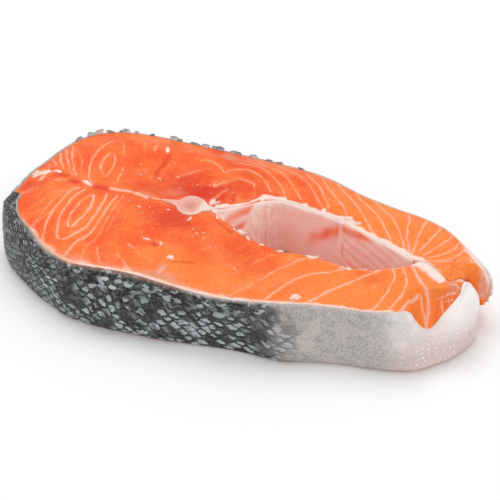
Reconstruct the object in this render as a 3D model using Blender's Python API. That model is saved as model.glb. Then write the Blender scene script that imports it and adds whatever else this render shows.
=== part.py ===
"""Salmon steak: a cross-cut slice of a whole fish, lying flat on its lower cut face.

The slice is a C-shaped slab of flesh around an open belly cavity. Skin runs round
the outside from one belly flap to the other, a thin membrane lines the cavity, and
a cut piece of the backbone passes through the flesh at the head of the cavity.

Frame: +X runs from the back of the fish to the belly tips, +Z points up out of the
upper cut face, and the origin is under the middle of the slice.
"""

import math

import bmesh
import bpy
import numpy as np
from mathutils import Vector
from mathutils.geometry import delaunay_2d_cdt

MM = 0.001

# --- thicknesses and clearances, mm ---
CROWN = 24.0  # height of the upper cut face over its middle
RIPPLE = 0.35  # gentle unevenness of the upper cut face
ROLL = 9.0  # width over which the cut face rolls down to its rim
SKIN = 1.1
MEMBRANE = 0.9
GAP = 0.3  # clearance between neighbouring solids
LIFT = 0.5  # the skin and the membrane end this far above the lower cut face
BONE_PROUD = 0.3  # the bone stands this far out of the flesh

# --- sampling, mm ---
STEP = 4.2  # spacing of points along the outlines
CELL = 4.6  # spacing of points across the cut faces
WALL_CUTS = 3  # rows added between the lower and the upper rim
FOOT_REACH = 24.0  # how far in from a rim the lower face follows the foot of its wall

# --- curled tip of the far flap, mm ---
CURL_LIFT = 8.0  # height of its underside at the very tip
CURL_FROM = 80.0  # x at which it starts to leave the lower cut face
CURL_TO = 95.0
CURL_SIDE = 2.0  # y that parts it from the near flap

# Outer side, near flap tip -> back -> far flap tip:
# (x, y) of the upper rim, rim height, how far the wall's foot stands out.
OUTER = [
    (88.2, 0.8, 23.8, 2.8),
    (87.8, -4.0, 24.0, 4.2),
    (86.6, -8.8, 23.0, 5.4),
    (84.4, -14.0, 18.0, 6.2),
    (81.7, -18.3, 14.4, 6.2),
    (79.2, -20.9, 13.0, 6.4),
    (76.8, -23.2, 15.2, 6.8),
    (74.7, -24.9, 19.2, 7.2),
    (72.2, -26.2, 23.0, 7.4),
    (66.3, -29.2, 23.3, 6.4),
    (59.5, -31.8, 23.2, 4.8),
    (49.0, -33.6, 23.2, 4.8),
    (38.2, -35.8, 23.2, 6.0),
    (27.9, -39.2, 23.2, 6.2),
    (17.0, -42.4, 23.2, 2.2),
    (7.0, -44.6, 23.2, 0.6),
    (-5.0, -45.3, 23.2, 2.4),
    (-18.0, -44.6, 23.2, 6.4),
    (-31.0, -43.9, 23.2, 8.6),
    (-42.0, -45.0, 23.2, 7.8),
    (-53.0, -46.4, 23.2, 4.8),
    (-60.5, -44.8, 23.2, 3.2),
    (-69.0, -40.6, 23.2, 3.4),
    (-77.6, -34.6, 23.2, 4.0),
    (-85.6, -29.2, 22.8, 3.8),
    (-91.6, -24.2, 22.0, 3.0),
    (-95.2, -18.6, 21.4, 2.4),
    (-95.4, -13.0, 21.8, 2.0),
    (-95.2, -5.0, 22.0, 1.6),
    (-94.8, 3.0, 22.0, 1.0),
    (-92.4, 13.0, 22.0, 1.0),
    (-90.4, 22.0, 22.0, 1.0),
    (-86.8, 31.4, 22.0, 1.0),
    (-80.5, 38.2, 22.0, 1.0),
    (-70.0, 43.0, 22.0, 1.0),
    (-55.0, 44.8, 22.0, 1.0),
    (-20.0, 45.5, 22.0, 1.0),
    (3.0, 45.2, 22.0, 1.0),
    (18.0, 42.8, 22.0, 1.0),
    (33.0, 37.6, 22.0, 1.0),
    (48.0, 34.4, 22.0, 1.0),
    (60.0, 32.4, 22.0, 1.0),
    (71.5, 28.2, 21.8, 0.8),
    (81.6, 20.4, 21.5, 0.4),
    (88.0, 15.2, 21.0, -0.6),
    (92.4, 10.6, 20.0, -1.0),
    (94.8, 6.8, 18.2, -1.6),
    (95.4, 4.2, 15.8, -1.6),
]

# Cut end of the far flap and the far lip of the slit, tip -> cavity: (x, y, rim height).
SLIT_FAR = [
    (93.8, 2.8, 13.8),
    (90.4, 3.8, 13.6),
    (87.6, 4.8, 17.0),
    (85.4, 4.0, 20.6),
    (83.0, 1.2, 22.4),
    (80.6, -2.9, 23.2),
    (77.8, -1.2, 23.4),
    (73.4, 2.0, 23.4),
    (68.6, 3.9, 23.4),
]

# Mouth of the cavity, far lip -> head -> near lip:
# (x, y) of the upper rim, and how far the foot of the wall lies from it in x and y.
CAVITY = [
    (64.0, 2.6, 0.0, 0.0),
    (56.0, 6.2, 0.0, -0.2),
    (46.0, 9.6, 0.0, -0.3),
    (37.0, 12.4, 0.0, -0.4),
    (29.0, 15.6, 0.0, -0.4),
    (17.0, 17.4, 0.2, -0.5),
    (6.0, 18.6, 1.0, -1.0),
    (0.0, 16.4, 2.6, -2.2),
    (-4.6, 12.4, 5.0, -4.0),
    (-9.4, 8.6, 7.4, -3.6),
    (-13.4, 5.2, 10.6, -2.0),
    (-14.0, 1.4, 11.4, 0.4),
    (-9.6, -2.0, 8.0, 1.6),
    (-3.4, -5.4, 4.2, 1.6),
    (5.0, -8.8, 0.6, 0.6),
    (18.0, -10.4, 0.0, 0.4),
    (30.0, -8.8, 0.0, 0.3),
    (43.0, -10.4, 0.0, 0.3),
    (51.0, -8.0, 0.0, 0.2),
    (58.0, -4.0, 0.0, 0.0),
    (63.2, -0.4, 0.0, 0.0),
]
CAVITY_RIM = 23.6

# Near lip of the slit, cavity -> near flap tip: (x, y, rim height).
SLIT_NEAR = [
    (68.0, 2.6, 24.0),
    (73.0, 0.7, 24.0),
    (78.0, -2.6, 24.0),
    (81.4, -4.8, 23.8),
    (84.6, -1.6, 23.8),
]

# Cut backbone, seen from above: the round centrum with a short wing toward the cavity
# and a spine pointing to the back of the fish.
BONE = [
    (-31.4, 4.8),
    (-29.6, 8.0),
    (-25.6, 9.2),
    (-21.8, 7.8),
    (-19.6, 5.4),
    (-17.6, 4.2),
    (-17.8, 3.0),
    (-20.2, 1.4),
    (-21.6, -1.4),
    (-25.2, -2.8),
    (-29.2, -1.6),
    (-31.6, 1.0),
    (-35.6, 1.8),
    (-38.4, 2.6),
    (-35.4, 3.6),
]


def spline(points, closed=False):
    """Smooth path through control rows of any width, resampled about every STEP."""
    rows = [np.array(p, dtype=float) for p in points]
    count = len(rows)
    spans = count if closed else count - 1
    out = []
    for i in range(spans):
        if closed:
            a, b, c, d = (rows[(i + k) % count] for k in (-1, 0, 1, 2))
        else:
            b, c = rows[i], rows[i + 1]
            a = rows[i - 1] if i else 2 * b - c
            d = rows[i + 2] if i + 2 < count else 2 * c - b
        pieces = max(1, round(float(np.linalg.norm(c[:2] - b[:2])) / STEP))
        for k in range(pieces):
            t = k / pieces
            turn = (c - a) * t + (2 * a - 5 * b + 4 * c - d) * t**2
            out.append(b + 0.5 * (turn + (3 * b - a - 3 * c + d) * t**3))
    if not closed:
        out.append(rows[-1])
    return np.array(out)


def normals(path, closed=False):
    """Unit vectors to the left of a plan path's direction of travel."""
    if closed:
        along = np.roll(path, -1, axis=0) - np.roll(path, 1, axis=0)
    else:
        along = np.gradient(path, axis=0)
    along = along / np.linalg.norm(along, axis=1)[:, None]
    return np.stack([-along[:, 1], along[:, 0]], axis=1)


def smoothstep(t):
    """Ease from 0 to 1 as t goes from 0 to 1."""
    t = np.clip(t, 0.0, 1.0)
    return t * t * (3.0 - 2.0 * t)


class Rim:
    """The closed outline of the flesh at its upper rim, with the wall's data at each point."""

    def __init__(self):
        outer = spline(OUTER)
        cavity = spline(CAVITY)
        slit_far = spline([(*OUTER[-1][:3],)] + SLIT_FAR + [(*CAVITY[0][:2], CAVITY_RIM)])[1:-1]
        slit_near = spline([(*CAVITY[-1][:2], CAVITY_RIM)] + SLIT_NEAR + [OUTER[0][:3]])[1:-1]

        self.outer_side = outer[:, :2]
        self.outer_normal = normals(self.outer_side)
        self.outer_rim = outer[:, 2]
        self.outer_foot = self.outer_normal * outer[:, 3:4]
        self.cavity_side = cavity[:, :2]
        self.cavity_normal = normals(self.cavity_side)
        self.cavity_foot = cavity[:, 2:4]

        inset_outer = self.outer_side - self.outer_normal * (SKIN + GAP)
        inset_cavity = self.cavity_side - self.cavity_normal * (MEMBRANE + GAP)
        still_far = np.zeros((len(slit_far), 2))
        still_near = np.zeros((len(slit_near), 2))
        self.points = np.vstack([inset_outer, slit_far[:, :2], inset_cavity, slit_near[:, :2]])
        self.height = np.concatenate(
            [outer[:, 2], slit_far[:, 2], np.full(len(cavity), CAVITY_RIM), slit_near[:, 2]]
        )
        # The cut end of the far flap leans back under its rim as its skin does.
        lean = np.linspace(1.0, 0.0, len(slit_far))[:, None]
        still_far += self.outer_foot[-1] * lean
        still_near += self.outer_foot[0] * np.linspace(0.0, 0.6, len(slit_near))[:, None] ** 3
        self.foot = np.vstack([self.outer_foot, still_far, self.cavity_foot, still_near])

    def nearest(self, x, y):
        """Index of the closest rim point and the distance to it."""
        gap = np.hypot(self.points[:, 0] - x, self.points[:, 1] - y)
        i = int(np.argmin(gap))
        return i, float(gap[i])


def wall_out(h):
    """Share of the foot's offset reached at height share h: full below, none at the rim."""
    tuck = 0.22 * max(0.0, 1.0 - h / 0.2) ** 2
    return (1.0 - h**3.2) * (1.0 - tuck)


def crown(x, y):
    """Height of the upper cut face away from its rims."""
    return CROWN + RIPPLE * math.sin(x / 17.0 + 1.0) * math.cos(y / 13.0)


def underside(x, y):
    """Height of the lower face: flat, but for the curled tip of the far flap."""
    if y < CURL_SIDE:
        return 0.0
    return CURL_LIFT * float(smoothstep((x - CURL_FROM) / (CURL_TO - CURL_FROM)))


def face_height(rim, x, y):
    """Height of the upper cut face at a plan point."""
    i, d = rim.nearest(x, y)
    drop = crown(x, y) - rim.height[i]
    width = ROLL + 0.5 * max(0.0, drop)
    return crown(x, y) - drop * float(1.0 - smoothstep(d / width))


def inside(x, y, loop):
    """Whether a plan point lies within a closed loop."""
    hit = False
    for (ax, ay), (bx, by) in zip(loop, np.roll(loop, -1, axis=0)):
        if (ay > y) != (by > y) and x < ax + (y - ay) * (bx - ax) / (by - ay):
            hit = not hit
    return hit


def sheet(loop, hole=None):
    """A flat triangulated face within a loop, and outside a hole, at height 1."""
    rings = [loop] if hole is None else [loop, hole]
    points, edges = [], []
    for ring in rings:
        first = len(points)
        points += [Vector(p) for p in ring]
        edges += [(first + i, first + (i + 1) % len(ring)) for i in range(len(ring))]
    edge_points = np.vstack(rings)
    low, high = loop.min(axis=0), loop.max(axis=0)
    row_step = CELL * math.sqrt(3.0) / 2.0
    for row in range(int((high[1] - low[1]) / row_step) + 1):
        y = low[1] + row * row_step
        for col in range(int((high[0] - low[0]) / CELL) + 2):
            x = low[0] + (col + 0.5 * (row % 2)) * CELL
            clear = np.hypot(edge_points[:, 0] - x, edge_points[:, 1] - y).min() > 0.62 * CELL
            if clear and inside(x, y, loop) and (hole is None or not inside(x, y, hole)):
                points.append(Vector((x, y)))
    verts, _, faces, *_ = delaunay_2d_cdt(points, edges, [], 0, 1e-6)
    bm = bmesh.new()
    made = [bm.verts.new((v.x, v.y, 1.0)) for v in verts]
    for face in faces:
        cx = sum(verts[i].x for i in face) / len(face)
        cy = sum(verts[i].y for i in face) / len(face)
        if inside(cx, cy, loop) and (hole is None or not inside(cx, cy, hole)):
            bm.faces.new([made[i] for i in face])
    bmesh.ops.delete(bm, geom=[v for v in bm.verts if not v.link_faces], context="VERTS")
    return bm


def deepen(bm, cuts):
    """Extrude a sheet from height 1 down to height 0, with cuts rows of points between."""
    made = bmesh.ops.extrude_face_region(bm, geom=bm.faces[:], use_keep_orig=True)["geom"]
    for v in made:
        if isinstance(v, bmesh.types.BMVert):
            v.co.z = 0.0
    upright = [e for e in bm.edges if abs(e.verts[0].co.z - e.verts[1].co.z) > 0.5]
    bmesh.ops.subdivide_edges(bm, edges=upright, cuts=cuts, use_grid_fill=False)


def band(outside, inside_path):
    """A flat strip between two plan paths of equal length, at height 1."""
    bm = bmesh.new()
    rows = [[bm.verts.new((*p, 1.0)) for p in path] for path in (outside, inside_path)]
    for i in range(len(outside) - 1):
        bm.faces.new([rows[0][i], rows[0][i + 1], rows[1][i + 1], rows[1][i]])
    return bm


def finish(bm, name, colour, roughness):
    """Triangulate and close a solid, give it its material and add it to the scene."""
    bmesh.ops.triangulate(bm, faces=bm.faces[:])
    bmesh.ops.recalc_face_normals(bm, faces=bm.faces[:])
    if bm.calc_volume(signed=True) < 0.0:
        bmesh.ops.reverse_faces(bm, faces=bm.faces[:])
    mesh = bpy.data.meshes.new(name)
    bm.to_mesh(mesh)
    bm.free()
    mesh.transform(((MM, 0, 0, 0), (0, MM, 0, 0), (0, 0, MM, 0), (0, 0, 0, 1)))
    mesh.shade_smooth()
    mesh.set_sharp_from_angle(angle=math.radians(50.0))
    material = bpy.data.materials.new(name)
    material.use_nodes = True
    shader = material.node_tree.nodes["Principled BSDF"]
    shader.inputs["Base Color"].default_value = (*colour, 1.0)
    shader.inputs["Roughness"].default_value = roughness
    shader.inputs["Metallic"].default_value = 0.0
    mesh.materials.append(material)
    obj = bpy.data.objects.new(name, mesh)
    bpy.context.scene.collection.objects.link(obj)
    return obj


def build_flesh(rim, bone_loop):
    """The C-shaped slab, with a hole for the bone, leaning walls and rolled rims."""
    hole = bone_loop + normals(bone_loop, closed=True) * GAP
    bm = sheet(rim.points, hole)
    deepen(bm, WALL_CUTS)
    for v in bm.verts:
        x, y, h = v.co
        i, d = rim.nearest(x, y)
        to_bone = float(np.hypot(hole[:, 0] - x, hole[:, 1] - y).min())
        follow = float(1.0 - smoothstep(d / FOOT_REACH)) * to_bone / (to_bone + d + 1e-9)
        follow *= wall_out(h)
        low = underside(x, y)
        high = face_height(rim, x, y)
        v.co = (x + rim.foot[i][0] * follow, y + rim.foot[i][1] * follow, low + h * (high - low))
    return finish(bm, "flesh", (0.85, 0.20, 0.06), 0.35)


def build_band(name, side, normal, foot, height, thickness, colour, roughness):
    """A thin layer along one side of the flesh, following its leaning wall."""
    bm = band(side, side - normal * thickness)
    deepen(bm, WALL_CUTS)
    ends = np.vstack([side, side - normal * thickness])
    for v in bm.verts:
        x, y, h = v.co
        i = int(np.argmin(np.hypot(ends[:, 0] - x, ends[:, 1] - y))) % len(side)
        out = wall_out(h)
        low = LIFT + underside(*side[i])
        v.co = (x + foot[i][0] * out, y + foot[i][1] * out, low + h * (height[i] - low))
    return finish(bm, name, colour, roughness)


def build_bone(rim, loop):
    """The cut backbone, straight through the flesh and just proud of it."""
    bm = bmesh.new()
    bm.faces.new([bm.verts.new((*p, 1.0)) for p in loop])
    deepen(bm, 1)
    top = face_height(rim, *loop.mean(axis=0)) + BONE_PROUD
    for v in bm.verts:
        v.co.z *= top
    return finish(bm, "backbone", (0.70, 0.42, 0.36), 0.45)


def centre_on_base(objects):
    """Slide the meshes so the origin is under the middle of the whole slice."""
    corners = [v.co for obj in objects for v in obj.data.vertices]
    low = [min(c[k] for c in corners) for k in range(3)]
    high = [max(c[k] for c in corners) for k in range(3)]
    shift = Vector((-(low[0] + high[0]) / 2, -(low[1] + high[1]) / 2, -low[2]))
    for obj in objects:
        for v in obj.data.vertices:
            v.co += shift
        obj.data.update()


def main():
    for obj in list(bpy.data.objects):
        bpy.data.objects.remove(obj, do_unlink=True)
    rim = Rim()
    bone_loop = spline(BONE, closed=True)
    membrane_rim = np.full(len(rim.cavity_side), CAVITY_RIM)
    centre_on_base([
        build_flesh(rim, bone_loop),
        build_band("skin", rim.outer_side, rim.outer_normal, rim.outer_foot,
                   rim.outer_rim, SKIN, (0.13, 0.13, 0.13), 0.4),
        build_band("belly_lining", rim.cavity_side, rim.cavity_normal, rim.cavity_foot,
                   membrane_rim, MEMBRANE, (0.72, 0.42, 0.40), 0.3),
        build_bone(rim, bone_loop),
    ])


main()
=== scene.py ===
"""Looks of the salmon steak: marbled flesh, scaled skin, belly lining, cut backbone and bits of fat.

Sizes are in millimetres in the plan of the slice until a piece is made, and a piece is in metres.
"""

from __future__ import annotations

import logging
import math
from collections.abc import Callable, Sequence
from dataclasses import dataclass, field
from enum import Enum
import bmesh
import bpy
import numpy as np
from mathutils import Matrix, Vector, kdtree, noise
from mathutils.geometry import delaunay_2d_cdt


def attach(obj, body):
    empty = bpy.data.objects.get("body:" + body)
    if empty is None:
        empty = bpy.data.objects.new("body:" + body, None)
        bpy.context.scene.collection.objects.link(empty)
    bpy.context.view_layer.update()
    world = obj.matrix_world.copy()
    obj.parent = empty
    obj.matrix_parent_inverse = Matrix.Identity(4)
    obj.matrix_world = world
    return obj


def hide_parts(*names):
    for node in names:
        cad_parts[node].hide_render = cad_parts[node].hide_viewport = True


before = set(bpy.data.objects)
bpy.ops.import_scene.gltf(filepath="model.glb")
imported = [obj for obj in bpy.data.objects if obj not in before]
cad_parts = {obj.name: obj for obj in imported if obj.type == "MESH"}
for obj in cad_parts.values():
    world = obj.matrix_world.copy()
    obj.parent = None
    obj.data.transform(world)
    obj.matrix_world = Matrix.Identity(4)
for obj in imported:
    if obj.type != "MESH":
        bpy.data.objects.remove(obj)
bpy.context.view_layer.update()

log = logging.getLogger("salmon_steak")

MM = 0.001
SCREEN_WHITE = 255.0
ORIGIN = np.array((1.064, 3.092, 0.0))  # from the plan of the slice to the middle of its base

# --- heights, thicknesses and clearances, mm ---
CROWN = 24.0  # upper cut face
RIPPLE = 0.35  # waviness of the upper cut face
ROLL = 9.0  # how far in from its rim the upper cut face bends down
CAVITY_RIM = 23.6
SKIN = 1.1
MEMBRANE = 0.9
GAP = 0.06  # from flesh to skin, lining and bone
LIFT = 0.5  # lower edges of skin and lining above the lower cut face
FOOT_REACH = 24.0  # how far in the flesh follows the slant of its walls
CURL_LIFT, CURL_FROM, CURL_TO, CURL_SIDE = 11.5, 81.0, 95.0, 2.0  # curled far tip: rise, first x, last x, least y
NOTCH_Y = 3.0  # the near flap's tip lies on the lesser side of this y, the far flap's on the other

# --- shares that shape the walls ---
BULGE, TIP_BULGE = 3.2, 7.0  # how far up the walls stay full, and the same round the near tip
TUCK, TUCK_HEIGHT = 0.22, 0.2  # how much the foot of a wall draws in, and up to which share of its height

SEAM_STEP = 0.4  # spacing of points along a drawn line, mm

# Outer side, near flap tip -> back -> far flap tip: x, y of the upper rim, rim height, foot.
OUTER = (
    (86.8, 0.2, 22.9, 2.8), (88.9, -3.6, 23.2, 3.8), (87.6, -8.8, 22.2, 5.0), (84.4, -14.0, 18.0, 6.2),
    (81.7, -18.3, 14.4, 6.2), (79.2, -20.9, 13.0, 6.4), (76.8, -23.2, 15.2, 6.8), (74.7, -24.9, 19.2, 7.2),
    (72.2, -26.2, 23.0, 7.4), (66.3, -29.2, 23.3, 6.4), (59.5, -31.8, 23.2, 4.8), (49.0, -33.6, 23.2, 4.8),
    (38.2, -35.8, 23.2, 6.0), (27.9, -39.2, 23.2, 6.2), (17.0, -42.4, 23.2, 2.2), (7.0, -44.6, 23.2, 0.6),
    (-5.0, -45.3, 23.2, 2.4), (-18.0, -44.6, 23.2, 6.4), (-31.0, -43.9, 23.2, 8.6), (-42.0, -45.0, 23.2, 7.8),
    (-53.0, -46.4, 23.2, 4.8), (-60.5, -44.8, 23.2, 3.2), (-69.0, -40.6, 23.2, 3.4), (-77.6, -34.6, 23.2, 4.0),
    (-85.6, -29.2, 22.8, 3.6), (-91.8, -24.2, 22.0, 2.0), (-95.9, -18.6, 21.4, 0.9), (-95.8, -13.0, 21.8, 1.2),
    (-95.2, -5.0, 22.0, 1.6), (-94.8, 3.0, 22.0, 1.0), (-92.4, 13.0, 22.0, 1.0), (-90.4, 22.0, 22.0, 1.0),
    (-86.8, 31.4, 22.0, 1.0), (-80.5, 38.2, 22.0, 1.0), (-70.0, 43.0, 22.0, 1.0), (-55.0, 44.8, 22.0, 1.0),
    (-20.0, 45.5, 22.0, 1.0), (3.0, 45.2, 22.0, 1.0), (18.0, 42.8, 22.0, 1.0), (33.0, 37.6, 22.0, 1.0),
    (48.0, 34.4, 22.0, 1.0), (60.0, 32.4, 22.0, 1.0), (71.5, 28.2, 21.8, 0.8), (81.6, 20.4, 21.5, 0.4),
    (88.0, 15.2, 21.0, -0.6), (92.4, 10.6, 20.0, -1.0), (94.8, 6.8, 18.2, -1.6), (95.4, 4.2, 15.8, -1.6),
)
# Cut end of the far flap and far lip of the slit: x, y, rim height.
SLIT_FAR = (
    (93.8, 2.8, 13.8), (90.4, 3.8, 13.6), (87.6, 4.8, 17.0), (85.4, 4.0, 20.6), (83.0, 1.2, 22.4),
    (80.6, -2.9, 23.2), (77.8, -1.2, 23.4), (73.4, 2.0, 23.4), (68.6, 3.9, 23.4),
)
# Mouth of the cavity, far lip -> head -> near lip: x, y, foot dx, foot dy.
CAVITY = (
    (64.0, 2.6, 0.0, 0.0), (56.0, 6.2, 0.0, -0.2), (46.0, 9.6, 0.0, -0.3), (37.0, 12.4, 0.0, -0.4),
    (29.0, 15.6, 0.0, -0.4), (17.0, 17.4, 0.2, -0.5), (6.0, 18.6, 1.0, -1.0), (0.0, 16.4, 2.6, -2.2),
    (-4.6, 12.4, 5.0, -4.0), (-9.4, 8.6, 7.4, -3.6), (-13.4, 5.2, 10.6, -2.0), (-14.0, 1.4, 11.4, 0.4),
    (-9.2, -0.9, 8.0, 1.6), (-2.8, -4.3, 4.2, 1.6), (5.2, -8.2, 0.6, 0.6), (18.0, -10.4, 0.0, 0.4),
    (30.0, -8.8, 0.0, 0.3), (43.0, -10.4, 0.0, 0.3), (51.0, -8.0, 0.0, 0.2), (58.0, -4.0, 0.0, 0.0),
    (63.2, -0.4, 0.0, 0.0),
)
# Near lip of the slit, cavity -> near flap tip: x, y, rim height.
SLIT_NEAR = ((68.0, 2.6, 24.0), (73.0, 0.7, 24.0), (77.4, -2.2, 24.0), (80.4, -4.0, 23.9), (82.8, -2.2, 23.9),
             (85.0, -0.6, 23.9))
# Cut backbone from above.
BONE = (
    (-31.4, 4.8), (-29.6, 8.0), (-25.6, 9.2), (-21.8, 7.8), (-19.6, 5.4), (-17.6, 4.2), (-17.8, 3.0),
    (-20.2, 1.4), (-21.6, -1.4), (-25.2, -2.8), (-29.2, -1.6), (-31.6, 1.0), (-35.6, 1.8), (-38.4, 2.6),
    (-35.4, 3.6),
)


class Slot(Enum):
    """Material slots of the record."""

    FLESH = "flesh"
    SKIN = "skin"
    MEMBRANE = "membrane"
    BONE = "bone"


# ---------------------------------------------------------------- plan geometry


def spline(points: Sequence[Sequence[float]] | np.ndarray, step: float, closed: bool = False) -> np.ndarray:
    """Smooth path through control rows of any width.

    Args:
        points: Rows of numbers, the first two of which are x and y.
        step: Spacing of the made rows in mm.
        closed: Whether the last row joins the first.

    Returns:
        The resampled rows.
    """
    rows = np.array(points, dtype=float)
    count = len(rows)
    out = []
    for i in range(count if closed else count - 1):
        if closed:
            a, b, c, d = (rows[(i + k) % count] for k in (-1, 0, 1, 2))
        else:
            b, c = rows[i], rows[i + 1]
            a = rows[i - 1] if i else 2 * b - c
            d = rows[i + 2] if i + 2 < count else 2 * c - b
        pieces = max(1, round(float(np.linalg.norm(c[:2] - b[:2])) / step))
        t = (np.arange(pieces) / pieces)[:, None]
        turn = (c - a) * t + (2 * a - 5 * b + 4 * c - d) * t**2
        out.append(b + 0.5 * (turn + (3 * b - a - 3 * c + d) * t**3))
    if not closed:
        out.append(rows[-1:])
    return np.vstack(out)


def normals(path: np.ndarray, closed: bool = False) -> np.ndarray:
    """Unit vectors to the left of a plan path's direction of travel.

    Args:
        path: Rows of x, y.
        closed: Whether the path is a loop.

    Returns:
        Rows of x, y of length 1.
    """
    along = np.roll(path, -1, axis=0) - np.roll(path, 1, axis=0) if closed else np.gradient(path, axis=0)
    along = along / np.linalg.norm(along, axis=1)[:, None]
    return np.stack([-along[:, 1], along[:, 0]], axis=1)


def smoothstep(t: np.ndarray) -> np.ndarray:
    """Ease from 0 to 1 as t goes from 0 to 1."""
    t = np.clip(t, 0.0, 1.0)
    return t * t * (3.0 - 2.0 * t)


def fade(value: np.ndarray, low: float, high: float) -> np.ndarray:
    """Ease from 0 at low to 1 at high, where low may be the larger."""
    return smoothstep((np.asarray(value, dtype=float) - low) / (high - low))


def ruffle(points: np.ndarray, size: float, seed: float = 0.0) -> np.ndarray:
    """Smooth noise between about -1 and 1.

    Args:
        points: Rows of two or three coordinates in mm.
        size: Size of its lumps in mm.
        seed: Moves the pattern.

    Returns:
        One value for each row.
    """
    deep = points.shape[1] > 2
    return np.array([
        noise.noise(Vector((p[0] / size + seed, p[1] / size - seed, (p[2] / size if deep else 0.0) + 0.37)))
        for p in points
    ]) * 1.6


def within(points: np.ndarray, loop: np.ndarray) -> np.ndarray:
    """Which plan points lie inside a closed loop.

    Args:
        points: Rows of x, y.
        loop: Rows of x, y of the loop.

    Returns:
        One True or False for each point.
    """
    x, y = points[:, 0], points[:, 1]
    hit = np.zeros(len(points), dtype=bool)
    for (ax, ay), (bx, by) in zip(loop, np.roll(loop, -1, axis=0)):
        if ay != by:
            hit ^= ((ay > y) != (by > y)) & (x < ax + (y - ay) * (bx - ax) / (by - ay))
    return hit


def wall_out(h: float | np.ndarray, power: float | np.ndarray = BULGE) -> np.ndarray:
    """Share of the foot's offset at height share h: full below, none at the rim.

    Args:
        h: Height share, 0 to 1.
        power: The larger it is, the further up the wall stays full.

    Returns:
        The share.
    """
    return (1.0 - h**power) * (1.0 - TUCK * np.maximum(0.0, 1.0 - h / TUCK_HEIGHT) ** 2)


def underside(xy: np.ndarray) -> np.ndarray:
    """Height of the lower face: flat, but for the curled tip of the far flap."""
    return np.where(xy[:, 1] < CURL_SIDE, 0.0, CURL_LIFT * fade(xy[:, 0], CURL_FROM, CURL_TO))


def run_of(path: np.ndarray) -> np.ndarray:
    """Distance along a plan path from its first point to each of its points."""
    return np.concatenate([[0.0], np.cumsum(np.hypot(*np.diff(path, axis=0).T))])


def tree_of(points: np.ndarray) -> kdtree.KDTree:
    """Search tree over plan points."""
    tree = kdtree.KDTree(len(points))
    for i, p in enumerate(points):
        tree.insert((p[0], p[1], 0.0), i)
    tree.balance()
    return tree


def closest(tree: kdtree.KDTree, xy: np.ndarray) -> tuple[np.ndarray, np.ndarray]:
    """Nearest point of a tree to each plan point.

    Args:
        tree: The points searched.
        xy: Rows of x, y.

    Returns:
        The index of the nearest point and the distance to it.
    """
    found = [tree.find((p[0], p[1], 0.0)) for p in xy]
    return np.array([f[1] for f in found]), np.array([f[2] for f in found])


@dataclass
class Section:
    """Outline of the slice that its flesh, skin, lining and bone share.

    Attributes:
        step: Spacing of points along the outlines in mm.
    """

    step: float = 0.7

    def __post_init__(self) -> None:
        """Work out the rims, the feet of the walls and the search trees."""
        outer = spline(OUTER, self.step)
        cavity = spline(CAVITY, self.step)
        self.outer_side, self.outer_rim = outer[:, :2], outer[:, 2]
        self.outer_normal = normals(self.outer_side)
        self.outer_foot = self.outer_normal * outer[:, 3:4]
        self.cavity_side, self.cavity_foot = cavity[:, :2], cavity[:, 2:4]
        self.cavity_normal = normals(self.cavity_side)
        inset_outer = self.outer_side - self.outer_normal * (SKIN + GAP)
        near_lip = fade(self.cavity_side[:, 1], 2.0, -3.0)
        self.lining = (MEMBRANE * (1.0 - 0.5 * near_lip))[:, None]
        self.cavity_rim = CAVITY_RIM + 0.4 * near_lip
        self.lining_rim = CAVITY_RIM - 0.7 * near_lip
        inset_cavity = self.cavity_side - self.cavity_normal * (self.lining + GAP)
        far = [(*inset_outer[-1], OUTER[-1][2]), *SLIT_FAR, (*inset_cavity[0], self.cavity_rim[0])]
        far = spline(far, self.step)[1:-1]
        near = [(*inset_cavity[-1], self.cavity_rim[-1]), *SLIT_NEAR, (*inset_outer[0], OUTER[0][2])]
        near = spline(near, self.step)[1:-1]
        self.points = np.vstack([inset_outer, far[:, :2], inset_cavity, near[:, :2]])
        self.height = np.concatenate([outer[:, 2], far[:, 2], self.cavity_rim, near[:, 2]])
        far_foot = self.outer_foot[-1] * np.linspace(1.0, 0.0, len(far))[:, None]
        near_foot = self.outer_foot[0] * np.linspace(0.0, 0.6, len(near))[:, None] ** 3
        self.foot = np.vstack([self.outer_foot, far_foot, self.cavity_foot, near_foot])
        tip = fade(self.outer_side[:, 0], 78.0, 84.0) * (self.outer_side[:, 1] < CURL_SIDE)
        self.outer_power = BULGE + (TIP_BULGE - BULGE) * tip
        self.power = np.concatenate([self.outer_power, np.full(len(self.points) - len(outer), BULGE)])
        self.tree = tree_of(self.points)
        self.outer_tree = tree_of(self.outer_side)
        self.cavity_tree = tree_of(self.cavity_side)
        self.bone_loop = spline(BONE, self.step, closed=True)
        self.hole = self.bone_loop + normals(self.bone_loop, closed=True) * GAP
        self.hole_tree = tree_of(self.hole)

    def face(self, xy: np.ndarray) -> tuple[np.ndarray, np.ndarray, np.ndarray]:
        """Upper cut face over plan points.

        Args:
            xy: Rows of x, y.

        Returns:
            Heights, indices of the nearest rim points and distances to them.
        """
        top = CROWN + RIPPLE * np.sin(xy[:, 0] / 17.0 + 1.0) * np.cos(xy[:, 1] / 13.0)
        i, d = closest(self.tree, xy)
        count = len(self.height)
        span = 0.5 + 0.7 * d / self.step
        low, high = np.clip(i + 0.5 - span, 0.0, count), np.clip(i + 0.5 + span, 0.0, count)
        marks, total = np.arange(count + 1), np.concatenate([[0.0], np.cumsum(self.height)])
        drop = top - (np.interp(high, marks, total) - np.interp(low, marks, total)) / (high - low)
        width = (ROLL + 0.5 * np.maximum(0.0, drop)) * (1.0 - 0.55 * fade(xy[:, 0], 78.0, 86.0) * (xy[:, 1] > 1.0))
        return top - drop * (1.0 - smoothstep(d / width)), i, d

    def on_face(self, x: float, y: float) -> np.ndarray:
        """Point of the upper cut face over x, y."""
        z, _, _ = self.face(np.array([(x, y)]))
        return np.array((x, y, float(z[0])))


# ---------------------------------------------------------------- shader writing


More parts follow.
